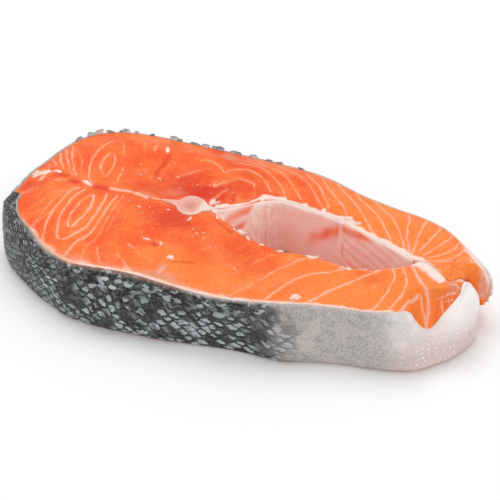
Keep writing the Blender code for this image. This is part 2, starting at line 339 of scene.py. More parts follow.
@dataclass(frozen=True)
class Tone:
    """A colour by its red, green and blue on a screen, 0 to 255."""

    red: float
    green: float
    blue: float

    @property
    def linear(self) -> tuple[float, float, float, float]:
        """The colour as a shader takes it."""
        def bend(v: float) -> float:
            """One channel, from the screen's scale to light."""
            v /= SCREEN_WHITE
            return v / 12.92 if v <= 0.04045 else ((v + 0.055) / 1.055) ** 2.4
        return (bend(self.red), bend(self.green), bend(self.blue), 1.0)


class Wire:
    """A shader socket that takes part in arithmetic."""

    def __init__(self, paint: Paint, socket: bpy.types.NodeSocket) -> None:
        """Keep the socket and the paint it belongs to."""
        self.paint = paint
        self.socket = socket

    def _math(self, operation: str, *values: object) -> Wire:
        """Result of one Math node on the values."""
        made = self.paint.node("ShaderNodeMath", {"operation": operation}, dict(enumerate(values)))
        return Wire(self.paint, made.outputs[0])

    def __add__(self, other: object) -> Wire:
        """Sum."""
        return self._math("ADD", self, other)

    __radd__ = __add__

    def __sub__(self, other: object) -> Wire:
        """Difference."""
        return self._math("SUBTRACT", self, other)

    def __rsub__(self, other: object) -> Wire:
        """Reflected difference."""
        return self._math("SUBTRACT", other, self)

    def __mul__(self, other: object) -> Wire:
        """Product."""
        return self._math("MULTIPLY", self, other)

    __rmul__ = __mul__

    def __truediv__(self, other: object) -> Wire:
        """Quotient."""
        return self._math("DIVIDE", self, other)

    def __pow__(self, other: object) -> Wire:
        """Power."""
        return self._math("POWER", self, other)

    def floor(self) -> Wire:
        """Largest whole number not above the value."""
        return self._math("FLOOR", self)

    def fraction(self) -> Wire:
        """What is left above the floor."""
        return self._math("FRACT", self)

    def size(self) -> Wire:
        """Value without its sign."""
        return self._math("ABSOLUTE", self)

    def least(self, other: object) -> Wire:
        """Smaller of two values."""
        return self._math("MINIMUM", self, other)

    def most(self, other: object) -> Wire:
        """Larger of two values."""
        return self._math("MAXIMUM", self, other)

    def ease(self, low: float, high: float) -> Wire:
        """Smooth step from 0 at low to 1 at high.

        Args:
            low: Value that gives 0.
            high: Value that gives 1, which may be the lesser.

        Returns:
            The eased value.
        """
        first, last = (low, high) if low < high else (high, low)
        made = self.paint.node(
            "ShaderNodeMapRange",
            {"interpolation_type": "SMOOTHSTEP"},
            {"Value": self, "From Min": first, "From Max": last, "To Min": 0.0, "To Max": 1.0},
        )
        eased = Wire(self.paint, made.outputs[0])
        return eased if low < high else 1.0 - eased


class Paint:
    """A material under construction."""

    def __init__(self, name: str) -> None:
        """Start a material with its shader.

        Args:
            name: The material's name.
        """
        self.material = bpy.data.materials.new(name)
        self.material.use_nodes = True
        self.tree = self.material.node_tree
        self.shader = self.tree.nodes["Principled BSDF"]
        place = self.node("ShaderNodeTexCoord")
        self.place = Wire(self, place.outputs["Object"])

    def node(self, kind: str, settings: dict | None = None, values: dict | None = None) -> bpy.types.Node:
        """Add a node.

        Args:
            kind: The node's type.
            settings: Its settings, set before its sockets.
            values: Values or links of its sockets, by index, identifier or name.

        Returns:
            The node.
        """
        made = self.tree.nodes.new(kind)
        for key, value in (settings or {}).items():
            setattr(made, key, value)
        for key, value in (values or {}).items():
            self.feed(made, key, value)
        return made

    def feed(self, node: bpy.types.Node, key: object, value: object) -> None:
        """Set or link one input of a node.

        Args:
            node: The node.
            key: Index, identifier or name of the input.
            value: A Wire, a Tone, a number or a tuple.
        """
        if isinstance(key, int):
            socket = node.inputs[key]
        else:
            found = [s for s in node.inputs if s.identifier == key] or [s for s in node.inputs if s.name == key]
            socket = found[0]
        if isinstance(value, Wire):
            self.tree.links.new(value.socket, socket)
        elif isinstance(value, Tone):
            socket.default_value = value.linear
        else:
            socket.default_value = value

    def surface(self, **values: object) -> None:
        """Set or link inputs of the shader, with underscores for the spaces in their names."""
        for key, value in values.items():
            self.feed(self.shader, key.replace("_", " "), value)

    def field(self, name: str) -> Wire:
        """Value that the mesh carries under a name."""
        made = self.node("ShaderNodeAttribute", {"attribute_name": name})
        return Wire(self, made.outputs["Fac"])

    def grain(self, size: float, detail: float = 3.0, rough: float = 0.5, stretch: tuple = (1.0, 1.0, 1.0),
              offset: float = 0.0) -> Wire:
        """Noise between 0 and 1.

        Args:
            size: Size of its lumps in mm.
            detail: Octaves.
            rough: Weight of the finer octaves.
            stretch: Size of the lumps along x, y, z against size.
            offset: Moves the pattern, in mm.

        Returns:
            The noise.
        """
        scale = tuple(1.0 / s for s in stretch)
        laid = self.node("ShaderNodeMapping", None, {"Vector": self.place, "Scale": scale,
                                                    "Location": (offset * MM, offset * MM, -offset * MM)})
        made = self.node("ShaderNodeTexNoise", None, {
            "Vector": Wire(self, laid.outputs[0]), "Scale": 1.0 / (size * MM), "Detail": detail, "Roughness": rough})
        return Wire(self, made.outputs["Fac"])

    def lot(self, first: Wire, second: Wire) -> Wire:
        """A random number between 0 and 1 for each pair of whole numbers."""
        both = self.node("ShaderNodeCombineXYZ", None, {0: first, 1: second})
        place = Wire(self, both.outputs[0])
        made = self.node("ShaderNodeTexWhiteNoise", {"noise_dimensions": "2D"}, {"Vector": place})
        return Wire(self, made.outputs["Value"])

    def drift(self, first: Wire, second: Wire, wide: float, long: float) -> Wire:
        """Noise between 0 and 1 that runs along the second of two coordinates.

        Args:
            first: The coordinate across it.
            second: The coordinate along it.
            wide: Size of its lumps across.
            long: Size of its lumps along.

        Returns:
            The noise.
        """
        both = self.node("ShaderNodeCombineXYZ", None, {0: first / wide, 1: second / long})
        made = self.node("ShaderNodeTexNoise", None, {
            "Vector": Wire(self, both.outputs[0]), "Scale": 1.0, "Detail": 2.0, "Roughness": 0.5})
        return Wire(self, made.outputs["Fac"])

    def mix(self, share: object, first: object, second: object) -> Wire:
        """Blend of two colours.

        Args:
            share: Share of the second, 0 to 1.
            first: A Wire or Tone.
            second: A Wire or Tone.

        Returns:
            The blended colour.
        """
        made = self.node("ShaderNodeMix", {"data_type": "RGBA", "clamp_factor": True},
                         {"Factor_Float": share, "A_Color": first, "B_Color": second})
        out = [s for s in made.outputs if s.identifier == "Result_Color"][0]
        return Wire(self, out)

    def bump(self, height: Wire, depth: float, strength: float = 1.0) -> Wire:
        """Normal of a surface with a height map.

        Args:
            height: Height, 0 to 1.
            depth: What 1 stands for, in mm.
            strength: Share of the effect.

        Returns:
            The normal.
        """
        made = self.node("ShaderNodeBump", None, {"Height": height, "Distance": depth * MM, "Strength": strength})
        return Wire(self, made.outputs[0])


# ---------------------------------------------------------------- finishes


@dataclass(frozen=True)
class FleshFinish:
    """Moist marbled orange flesh."""

    orange: Tone = Tone(246, 86, 14)
    light: Tone = Tone(254, 118, 34)
    flap: Tone = Tone(255, 139, 46)
    deep: Tone = Tone(216, 40, 6)
    fat: Tone = Tone(252, 182, 152)
    halo: Tone = Tone(254, 140, 76)
    white: Tone = Tone(250, 222, 212)
    veil: Tone = Tone(222, 150, 124)

    def material(self) -> bpy.types.Material:
        """Make the flesh material from the fields that the mesh carries.

        Returns:
            The material.
        """
        p = Paint("flesh")
        cloud = p.grain(13.0, 4.0, 0.55)
        fine = p.grain(1.5, 4.0, 0.62, (1.0, 1.0, 2.5))
        speck = p.grain(0.85, 3.0, 0.6, (1.0, 1.0, 2.0), 31.0)
        grit = p.grain(0.55, 2.0, 0.6, (1.0, 1.0, 1.0), 57.0)
        fat, deep = p.field("fat"), p.field("deep")
        white, veil = p.field("white"), p.field("veil")
        # muscle, with its grain
        base = p.mix(cloud.ease(0.34, 0.66), self.orange, self.light)
        base = p.mix(p.field("flap") * 0.85, base, self.flap)
        base = p.mix(fine.ease(0.50, 0.72) * 0.26, base, self.halo)
        base = p.mix(fine.ease(0.46, 0.26) * 0.34, base, self.deep)
        base = p.mix(grit.ease(0.52, 0.70) * 0.22, base, self.fat)
        base = p.mix(grit.ease(0.46, 0.30) * 0.30, base, self.deep)
        # drawn areas and lines
        base = p.mix((deep * (0.55 + 0.9 * cloud)).least(1.0), base, self.deep)
        base = p.mix(p.field("halo") * 0.42, base, self.halo)
        base = p.mix(speck.ease(0.64, 0.76) * 0.4 * (1.0 - deep), base, self.fat)
        base = p.mix(veil * (0.6 + 0.5 * fine), base, self.veil)
        base = p.mix((fat * (0.30 + 0.75 * fine + 0.55 * speck)).ease(0.12, 0.80), base, self.fat)
        base = p.mix((white * (0.75 + 0.45 * fine)).ease(0.15, 0.75), base, self.white)
        height = fine * 0.55 + speck * 0.25 + cloud * 0.5
        p.surface(
            Base_Color=base,
            Roughness=0.30 + 0.22 * fine,
            Subsurface_Weight=0.22,
            Subsurface_Radius=(1.0, 0.32, 0.14),
            Subsurface_Scale=2.2 * MM,
            IOR=1.38,
            Specular_IOR_Level=0.28,
            Coat_Weight=0.04 + 0.20 * cloud.ease(0.48, 0.64),
            Coat_Roughness=0.16,
            Normal=p.bump(height, 0.42, 0.55),
        )
        return p.material


@dataclass(frozen=True)
class SkinFinish:
    """Fish skin, with painted highlights and shadows: dark with pale scales over the back, smooth grey, then pinkish
    white at the belly.
    """

    net: Tone = Tone(26, 26, 26)
    dull: Tone = Tone(84, 86, 86)
    pale: Tone = Tone(184, 190, 193)
    glint: Tone = Tone(208, 213, 216)
    grey: Tone = Tone(178, 173, 170)
    fleck: Tone = Tone(92, 89, 86)
    belly: Tone = Tone(216, 192, 187)
    crest: Tone = Tone(255, 250, 249)
    edge: Tone = Tone(214, 200, 194)
    brown: Tone = Tone(190, 146, 130)

    def material(self) -> bpy.types.Material:
        """Make the skin material from the fields that the mesh carries.

        Returns:
            The material.
        """
        p = Paint("skin")
        back, rise, tip = p.field("back"), p.field("rise"), p.field("belly")
        patch, fine = p.grain(9.0, 3.0, 0.6), p.grain(0.9, 4.0, 0.65)
        grit, clump = p.grain(0.5, 3.0, 0.7, (1.0, 1.0, 1.0), 21.0), p.grain(2.3, 4.0, 0.68, (1.5, 1.5, 0.8), 9.0)
        ragged = (p.grain(1.5, 3.0, 0.6, (1.4, 1.4, 0.8), 3.0) - 0.5) * 0.5
        first, second = p.field("row_a") + ragged, p.field("row_b") - ragged * 0.8
        # place within one scale, and the random numbers of that scale
        a, b = first.fraction(), second.fraction()
        lot, other = p.lot(first.floor(), second.floor()), p.lot(second.floor(), first.floor() + 7.0)
        drift = p.drift(first, second, 2.0, 5.0)
        level, post = a + b - 1.0, a - b
        shape = (1.05 * level).size() ** 1.3 + (1.75 * post).size() ** 1.5
        edged = shape + 0.60 * other
        shell = edged.ease(1.28, 0.96) * (0.80 + 0.34 * post + 0.16 * level)
        # gap is painted shadow along the lower edge of each scale, on that side only
        gap = edged.ease(0.98, 1.22) * edged.ease(1.90, 1.50) * post.ease(0.20, -0.25) * (1.0 - back)
        streak = level.size().ease(1.0, 0.50) * (post + (fine - 0.5) * 0.5).size().ease(0.44, 0.10)
        bright = (lot * 0.70 + drift * 3.2 + patch * 0.6 - 1.92).ease(0.0, 0.50)
        bright = bright * (0.22 + 0.78 * rise.ease(0.90, 0.60))
        plate = p.mix((bright * (0.70 + 0.55 * fine)).least(1.0), self.dull, self.pale)
        # painted glints: pale specks of highlight on the scale faces
        plate = p.mix(grit.ease(0.56, 0.70) * (0.15 + 0.40 * bright), plate, self.glint)
        plate = p.mix(grit.ease(0.46, 0.34) * 0.35, plate, self.net)
        # on the small scales of the back only a painted highlight shows: a pale dash along each scale
        highlight_dashes = streak * (0.02 + 0.8 * lot.ease(0.1, 0.95) + 0.7 * fine.ease(0.42, 0.62)) * back
        shown = (shell * (0.22 + 0.85 * bright)) * (1.0 - back) + highlight_dashes
        wear = 0.10 + drift.ease(0.40, 0.60) * 0.45 + fine.ease(0.40, 0.64) * 0.70
        under = p.mix(wear * (1.0 - 0.70 * back), self.net, self.dull)
        # the pale of those dashes on the back is painted highlight
        plate = p.mix(back * (0.35 + 0.6 * lot), plate, self.pale)
        dark = p.mix((shown * (0.60 + 0.8 * fine)).least(1.0), under, plate)
        # painted shadow under the lower edge of each scale
        dark = p.mix(gap * 0.9, dark, self.net)
        # worn and torn scales below the upper rim as pale scraps, painted shadow in dark clumps all over, painted
        # glints
        top = rise.ease(0.66, 0.88) * (1.0 - back)
        dark = p.mix(clump.ease(0.47, 0.40) * (0.55 + 0.40 * top), dark, self.net)
        dark = p.mix(clump.ease(0.56, 0.62) * top * 0.8, dark, self.pale)
        dark = p.mix(grit.ease(0.60, 0.72) * (0.20 + 0.25 * top), dark, self.glint)
        dark = p.mix(p.field("smooth").ease(0.02, 0.5) * 0.55, dark, self.grey)
        # smooth grey side
        smooth = p.mix(grit.ease(0.50, 0.62) * 0.70, self.grey, self.edge)
        smooth = p.mix(grit.ease(0.47, 0.33) * 0.45 + fine.ease(0.56, 0.66) * 0.45, smooth, self.fleck)
        smooth = p.mix(clump.ease(0.50, 0.66) * 0.20, smooth, self.fleck)
        smooth = p.mix(patch.ease(0.52, 0.66) * 0.35, smooth, self.belly)
        # belly, painted lighter toward its top as highlight, with painted glints for the sparkle of frost
        belly = p.mix(rise.ease(0.25, 0.85) * (0.55 + 0.6 * patch), self.belly, self.crest)
        frost_glints = p.grain(0.7, 2.0, 0.5, (1.0, 1.0, 1.0), 77.0)
        belly = p.mix(frost_glints.ease(0.58, 0.67) * 0.9, belly, self.crest)
        belly = p.mix(grit.ease(0.44, 0.30) * 0.35, belly, self.grey)
        # the three zones and the cut edge together
        turned = (p.field("smooth") + (clump - 0.5) * 0.9 + (patch - 0.5) * 0.8).ease(0.30, 0.72)
        colour = p.mix(turned, dark, smooth)
        colour = p.mix((tip + (patch - 0.5) * tip * (1.0 - tip) * 4.0).least(1.0).most(0.0), colour, belly)
        lip = p.mix(((clump - 0.5) * 1.6 + p.field("warm")).ease(0.2, 0.8), self.edge, self.brown)
        colour = p.mix(p.field("cut") * (0.6 + 0.6 * fine), colour, lip)
        relief = shown * (1.0 - p.field("smooth")) * 0.7 + fine * 0.5 + clump * 0.6
        p.surface(
            Base_Color=colour,
            Roughness=0.30 + 0.25 * fine,
            Specular_IOR_Level=0.22,
            Subsurface_Weight=0.06,
            Subsurface_Radius=(1.0, 0.7, 0.6),
            Subsurface_Scale=1.0 * MM,
            Coat_Weight=0.30 * tip + 0.32 * fine.ease(0.54, 0.64),
            Coat_Roughness=0.14,
            Normal=p.bump(relief, 0.45, 0.8),
        )
        return p.material


@dataclass(frozen=True)
class LiningFinish:
    """Thin pink membrane over the flesh of the cavity."""

    pink: Tone = Tone(255, 204, 193)
    shade: Tone = Tone(248, 178, 160)
    pale: Tone = Tone(255, 228, 220)
    red: Tone = Tone(250, 112, 62)

    def material(self) -> bpy.types.Material:
        """Make the membrane material.

        Returns:
            The material.
        """
        p = Paint("membrane")
        cloud = p.grain(8.0, 3.0, 0.55)
        fibre = p.grain(1.2, 4.0, 0.6, (3.0, 3.0, 0.7))
        # shade field: painted shade deep in the cavity, on the pleats and between the ribs; pale field: pale
        # membrane, and painted highlight on the ribs and pleat crests
        colour = p.mix(p.field("shade") * (0.6 + 0.6 * cloud), self.pink, self.shade)
        colour = p.mix(p.field("pale") * (0.5 + 0.8 * fibre), colour, self.pale)
        colour = p.mix(fibre.ease(0.54, 0.70) * 0.45, colour, self.pale)
        colour = p.mix(fibre.ease(0.46, 0.34) * 0.35, colour, self.shade)
        colour = p.mix((p.field("red") * (0.35 + 1.1 * cloud)).least(1.0), colour, self.red)
        p.surface(
            Base_Color=colour,
            Roughness=0.28 + 0.2 * fibre,
            Subsurface_Weight=0.25,
            Subsurface_Radius=(1.0, 0.45, 0.35),
            Subsurface_Scale=1.8 * MM,
            Coat_Weight=0.25 + 0.2 * cloud,
            Coat_Roughness=0.18,
            Normal=p.bump(fibre * 0.6 + cloud * 0.4, 0.4, 0.5),
        )
        return p.material


@dataclass(frozen=True)
class BoneFinish:
    """Cut face of a backbone: greyish pink with a cream rim."""

    heart: Tone = Tone(234, 166, 148)
    core: Tone = Tone(206, 128, 110)
    rim: Tone = Tone(248, 222, 208)
    wing: Tone = Tone(246, 172, 146)

    def material(self) -> bpy.types.Material:
        """Make the bone material.

        Returns:
            The material.
        """
        p = Paint("bone")
        fine = p.grain(0.9, 4.0, 0.6)
        cloud = p.grain(3.4, 3.0, 0.5)
        colour = p.mix(p.field("core") * (0.4 + 0.7 * cloud), self.heart, self.core)
        colour = p.mix((p.field("edge") * (0.6 + 0.7 * fine)).least(1.0), colour, self.rim)
        colour = p.mix(p.field("wing") * 0.8, colour, self.wing)
        colour = p.mix(fine.ease(0.54, 0.70) * 0.5, colour, self.rim)
        colour = p.mix(fine.ease(0.46, 0.32) * 0.4, colour, self.core)
        p.surface(
            Base_Color=colour,
            Roughness=0.32 + 0.22 * fine,
            Subsurface_Weight=0.15,
            Subsurface_Radius=(1.0, 0.5, 0.4),
            Subsurface_Scale=1.4 * MM,
            Coat_Weight=0.2,
            Coat_Roughness=0.15,
            Normal=p.bump(fine * 0.7 + cloud * 0.3, 0.4, 0.6),
        )
        return p.material


@dataclass(frozen=True)
class FatFinish:
    """Whitish fat and torn membrane."""

    name: str = "fat"
    white: Tone = Tone(248, 222, 212)
    pink: Tone = Tone(244, 176, 150)

    def material(self) -> bpy.types.Material:
        """Make the fat material.

        Returns:
            The material.
        """
        p = Paint(self.name)
        cloud = p.grain(2.0, 3.0, 0.55)
        fine = p.grain(0.5, 3.0, 0.6)
        colour = p.mix(cloud.ease(0.42, 0.64), self.white, self.pink)
        p.surface(
            Base_Color=p.mix(fine.ease(0.55, 0.72) * 0.4, colour, self.white),
            Roughness=0.26 + 0.2 * fine,
            Subsurface_Weight=0.3,
            Subsurface_Radius=(1.0, 0.5, 0.4),
            Subsurface_Scale=1.5 * MM,
            Coat_Weight=0.35,
            Coat_Roughness=0.12,
            Normal=p.bump(fine * 0.5 + cloud * 0.5, 0.3, 0.5),
        )
        return p.material


FAT = FatFinish()
SINEW = FatFinish("sinew", Tone(250, 218, 206), Tone(246, 184, 160))
SPECK = FatFinish("speck", Tone(252, 202, 180), Tone(250, 160, 124))


@dataclass(frozen=True)
class PlateFinish:
    """Loose translucent grey scales, with painted glints."""

    dark: Tone = Tone(104, 107, 109)
    pale: Tone = Tone(218, 223, 226)
    glint: Tone = Tone(212, 216, 218)

    def material(self) -> bpy.types.Material:
        """Make the material of the raised scales.

        Returns:
            The material.
        """
        p = Paint("loose_scale")
        cloud = p.grain(3.0, 3.0, 0.6)
        fine = p.grain(0.6, 3.0, 0.6)
        colour = p.mix((p.field("tone") * (0.5 + 0.9 * cloud)).least(1.0), self.dark, self.pale)
        # painted glints on the scales
        colour = p.mix(fine.ease(0.56, 0.7) * 0.35, colour, self.glint)
        p.surface(
            Base_Color=colour,
            Roughness=0.24 + 0.2 * fine,
            Specular_IOR_Level=0.3,
            Coat_Weight=0.3,
            Coat_Roughness=0.12,
            Normal=p.bump(fine, 0.25, 0.5),
        )
        return p.material


@dataclass(frozen=True)
class FloorFinish:
    """Plain pale matt floor."""

    white: Tone = Tone(254, 254, 254)

    def material(self) -> bpy.types.Material:
        """Make the floor material."""
        p = Paint("floor")
        p.surface(Base_Color=self.white, Roughness=0.85, Specular_IOR_Level=0.1)
        return p.material


# ---------------------------------------------------------------- making pieces


@dataclass
class Net:
    """Points and faces of a piece under construction, in mm."""

    verts: list = field(default_factory=list)
    faces: list = field(default_factory=list)
    count: int = 0

    def add(self, verts: np.ndarray, faces: list) -> int:
        """Take in points and the faces on them.

        Args:
            verts: Rows of x, y, z.
            faces: Tuples of indices into those rows.

        Returns:
            The index that the first row has got.
        """
        first = self.count
        self.verts.append(np.asarray(verts, dtype=float))
        self.faces += [tuple(i + first for i in f) for f in faces]
        self.count += len(verts)
        return first

    def wall(self, above: np.ndarray, below: np.ndarray) -> None:
        """Join two closed rings of points, given by their indices."""
        after, under = np.roll(above, -1), np.roll(below, -1)
        self.faces += [tuple(f) for f in np.column_stack([above, after, under, below]).tolist()]

    def piece(self, name: str, fields: dict[str, np.ndarray], material: bpy.types.Material) -> bpy.types.Object:
        """Make the object.

        Args:
            name: The piece's name.
            fields: Values at each point, by name.
            material: Its finish.

        Returns:
            The object, in metres in the shared frame.
        """
        mesh = bpy.data.meshes.new(name)
        place = (np.vstack(self.verts) + ORIGIN) * MM
        mesh.from_pydata(place.tolist(), [], self.faces)
        for key, values in fields.items():
            kept = mesh.attributes.new(key, "FLOAT", "POINT")
            kept.data.foreach_set("value", np.asarray(values, dtype=np.float32))
        mesh.shade_smooth()
        mesh.materials.append(material)
        made = bpy.data.objects.new(name, mesh)
        bpy.context.scene.collection.objects.link(made)
        return made


def settle(piece: bpy.types.Object, slot: Slot, *nodes: str) -> None:
    """Let a piece ride on the slice, and stand for CAD nodes.

    Args:
        piece: The piece.
        slot: The material slot meant for the piece; not used.
        nodes: The CAD nodes that it replaces.
    """
    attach(piece, "root")
    if nodes:
        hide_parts(*nodes)


def shell(rows: list[np.ndarray], cap: Callable[[int, int, int], list]) -> Net:
    """Closed strip through rows of points that run up its outside and down its inside.

    Args:
        rows: The rows, with the same number of points in each.
        cap: Gives the faces of one end for the number of rows, the number of columns and the end's column.

    Returns:
        The points and faces.
    """
    total, count = len(rows), len(rows[0])
    net = Net()
    net.add(np.vstack(rows), [
        ((r + 1) * count + c, (r + 1) * count + c + 1, r * count + c + 1, r * count + c)
        for r in range(total - 1) for c in range(count - 1)
    ])
    last = (total - 1) * count
    net.faces += [(c, c + 1, last + c + 1, last + c) for c in range(count - 1)]
    for column in (0, count - 1):
        made = cap(total, count, column)
        net.faces += made if column else [f[::-1] for f in made]
    return net


def fill(outline: np.ndarray, grid: np.ndarray, hole: np.ndarray | None = None) -> tuple[np.ndarray, list]:
    """Flat triangulated face within an outline, and round a hole.

    Args:
        outline: Rows of x, y of the outer loop.
        grid: Rows of x, y of the points inside.
        hole: Rows of x, y of the inner loop, if it has one.

    Returns:
        Rows of x, y, first those of the loops, and tuples of three indices.
    """
    loops = [outline] if hole is None else [outline, hole]
    edges, first = [], 0
    for loop in loops:
        edges += [(first + i, first + (i + 1) % len(loop)) for i in range(len(loop))]
        first += len(loop)
    plan = np.vstack([*loops, grid])
    verts, _, faces, origin, *_ = delaunay_2d_cdt([Vector(p) for p in plan], edges, [], 0, 1e-7)
    if len(verts) != len(plan):
        raise RuntimeError("an outline crosses itself")
    order = [o[0] for o in origin]
    corners = np.array([[order[i] for i in f] for f in faces])
    middle = plan[corners].mean(axis=1)
    keep = within(middle, outline)
    if hole is not None:
        keep &= ~within(middle, hole)
    return plan, [tuple(f) for f in corners[keep].tolist()]


# ---------------------------------------------------------------- marbling


@dataclass(frozen=True)
class Seam:
    """A line of fat, a fissure or a band, drawn on the cut face.

    Attributes:
        width: Its full width in mm.
        strength: How strongly it shows, 0 to 1.
        flat: x, y, x, y and so on, in mm.
    """

    width: float
    strength: float
    flat: tuple

    def path(self) -> np.ndarray:
        """Smooth path through its points."""
        return spline(np.array(self.flat, dtype=float).reshape(-1, 2), SEAM_STEP)


@dataclass(frozen=True)
class Patch:
    """An oval area of the cut face.

    Attributes:
        x: Its middle.
        y: Its middle.
        long: Half its length in mm.
        wide: Half its width in mm.
        turn: Angle of its length from x, in degrees.
        strength: How strongly it shows.
    """

    x: float
    y: float
    long: float
    wide: float
    turn: float = 0.0
    strength: float = 1.0

    def reach(self, xy: np.ndarray) -> np.ndarray:
        """Distance from the middle, 1 on the oval's edge.

        Args:
            xy: Rows of x, y.

        Returns:
            One value for each row.
        """
        a = math.radians(self.turn)
        dx, dy = xy[:, 0] - self.x, xy[:, 1] - self.y
        return np.hypot((dx * math.cos(a) + dy * math.sin(a)) / self.long,
                        (dy * math.cos(a) - dx * math.sin(a)) / self.wide)


# Fat between the flakes of the near side of the back, in nested ovals.
NEAR_BACK = (
    Seam(0.9, 0.85, (-63.6, -3.6, -65.6, -7, -66.4, -12, -66.5, -18, -65.2, -24, -63.4, -27.4)),
    Seam(1.2, 0.95, (-63.6, -3.8, -62.4, -8, -61.5, -13, -61.6, -18, -62.1, -22, -62.7, -25.6, -63.4, -27.4)),
    Seam(1.0, 0.92, (-67.2, -2.0, -69.5, -5.5, -70.6, -12, -70.5, -17, -69.7, -22, -68.2, -27, -66.5, -31,
                     -65, -33.6, -63.4, -34.8)),
    Seam(1.1, 0.92, (-63.4, -34.8, -61.5, -33.4, -60, -31.2, -59, -28.6, -57.6, -24, -57.8, -18, -58, -11,
                     -58.7, -6, -59.6, -1)),
    Seam(1.0, 0.85, (-70.5, -1.6, -73.4, -6, -74.1, -16, -73.8, -22, -73, -27, -71.6, -32, -69.8, -36.4,
                     -68.6, -39.4)),
    Seam(1.0, 0.85, (-55.4, 0.4, -55.5, -5, -55.3, -10, -54.6, -21, -54.2, -26, -55.2, -31, -56.6, -34,
                     -57.2, -37.4, -57.8, -43.4)),
    Seam(0.8, 0.6, (-75.4, -4.4, -77.2, -12, -77.3, -22, -77.6, -29, -76.6, -34)),
    Seam(0.8, 0.6, (-53, 0.6, -53.2, -6, -53, -12, -51.9, -20, -51, -28, -52, -36, -51.2, -41, -50.3, -43.4)),
    Seam(0.8, 0.45, (-50.8, -5, -50.6, -11, -49.6, -19, -48.6, -25)),
    Seam(0.8, 0.7, (-48.5, -33.5, -46.4, -37.6, -43.2, -42.2)),
    Seam(0.8, 0.6, (-73.7, -3.6, -73.9, -14.2, -74.8, -21.9, -76.6, -27.4, -77.2, -31.1)),
    Seam(0.7, 0.45, (-74.5, -4.5, -75.8, -11.9, -77.5, -16.6, -79.4, -22, -81.1, -26)),
    Seam(0.7, 0.5, (-75.6, -4.3, -78.3, -9, -80.7, -14.6, -83.5, -22.2)),
    Seam(0.7, 0.4, (-78.6, -3.6, -82.6, -9, -85.2, -17)),
    Seam(0.7, 0.5, (-80.6, -3, -83.8, -6, -86.7, -9.8, -88.3, -13.6)),
)
# The same on the far side of the back.
FAR_BACK = (
    Seam(0.9, 0.8, (-64.4, 7.1, -66.9, 9.8, -69.2, 13.4, -70.2, 18.0, -69.9, 21.6, -68.4, 23.8)),
    Seam(0.9, 0.7, (-64.4, 7.1, -64.5, 11.0, -65.0, 16.0, -66.4, 20.6, -68.4, 23.8)),
    Seam(0.9, 0.8, (-66.1, 1.0, -69.6, 4.4, -72.8, 10.0, -74.5, 16.1, -75.0, 23.4, -73.7, 29.2, -71, 32.8)),
    Seam(0.8, 0.55, (-71, 32.8, -68.8, 32.6, -66.6, 29.6, -64.8, 26.0, -63.3, 21.6)),
    Seam(0.9, 0.7, (-59, 4.2, -59.7, 10.2, -60.9, 17.3)),
    Seam(0.7, 0.5, (-61.2, 36.6, -58.7, 32.7, -56.8, 27.5)),
    Seam(0.6, 0.35, (-64.2, 35.6, -62.8, 32, -61.8, 28.4)),
    Seam(1.0, 0.8, (-55.3, 36.2, -54.4, 33, -53.8, 30.4)),
    Seam(0.8, 0.6, (-90.8, 10.4, -89.4, 9.0, -88.7, 6.9)),
    Seam(0.9, 0.7, (-90.0, 13.0, -87.8, 10.9, -85.9, 7.2)),
    Seam(0.9, 0.85, (-88.7, 16.4, -86.6, 12.6, -83.7, 8.9, -82.1, 5.8)),
    Seam(0.9, 0.85, (-87.6, 19.4, -83.7, 13.2, -80.3, 7.8, -76.6, 3.6)),
    Seam(0.9, 0.8, (-86.1, 22.4, -83.8, 17.4, -81.1, 12.5, -77.7, 7.1, -74.8, 4.1)),
    Seam(0.8, 0.6, (-82.6, 20.2, -80.0, 17.2, -77.9, 14.2, -76.3, 9.4, -74.0, 5.2)),
    Seam(0.6, 0.4, (-57, 12, -52.8, 17.6, -50, 21)),
    Seam(0.6, 0.35, (-56.6, 8.6, -50, 12.6, -45.4, 17)),
    Seam(0.6, 0.35, (-49.6, 5, -44, 8.6, -40.4, 13)),
)
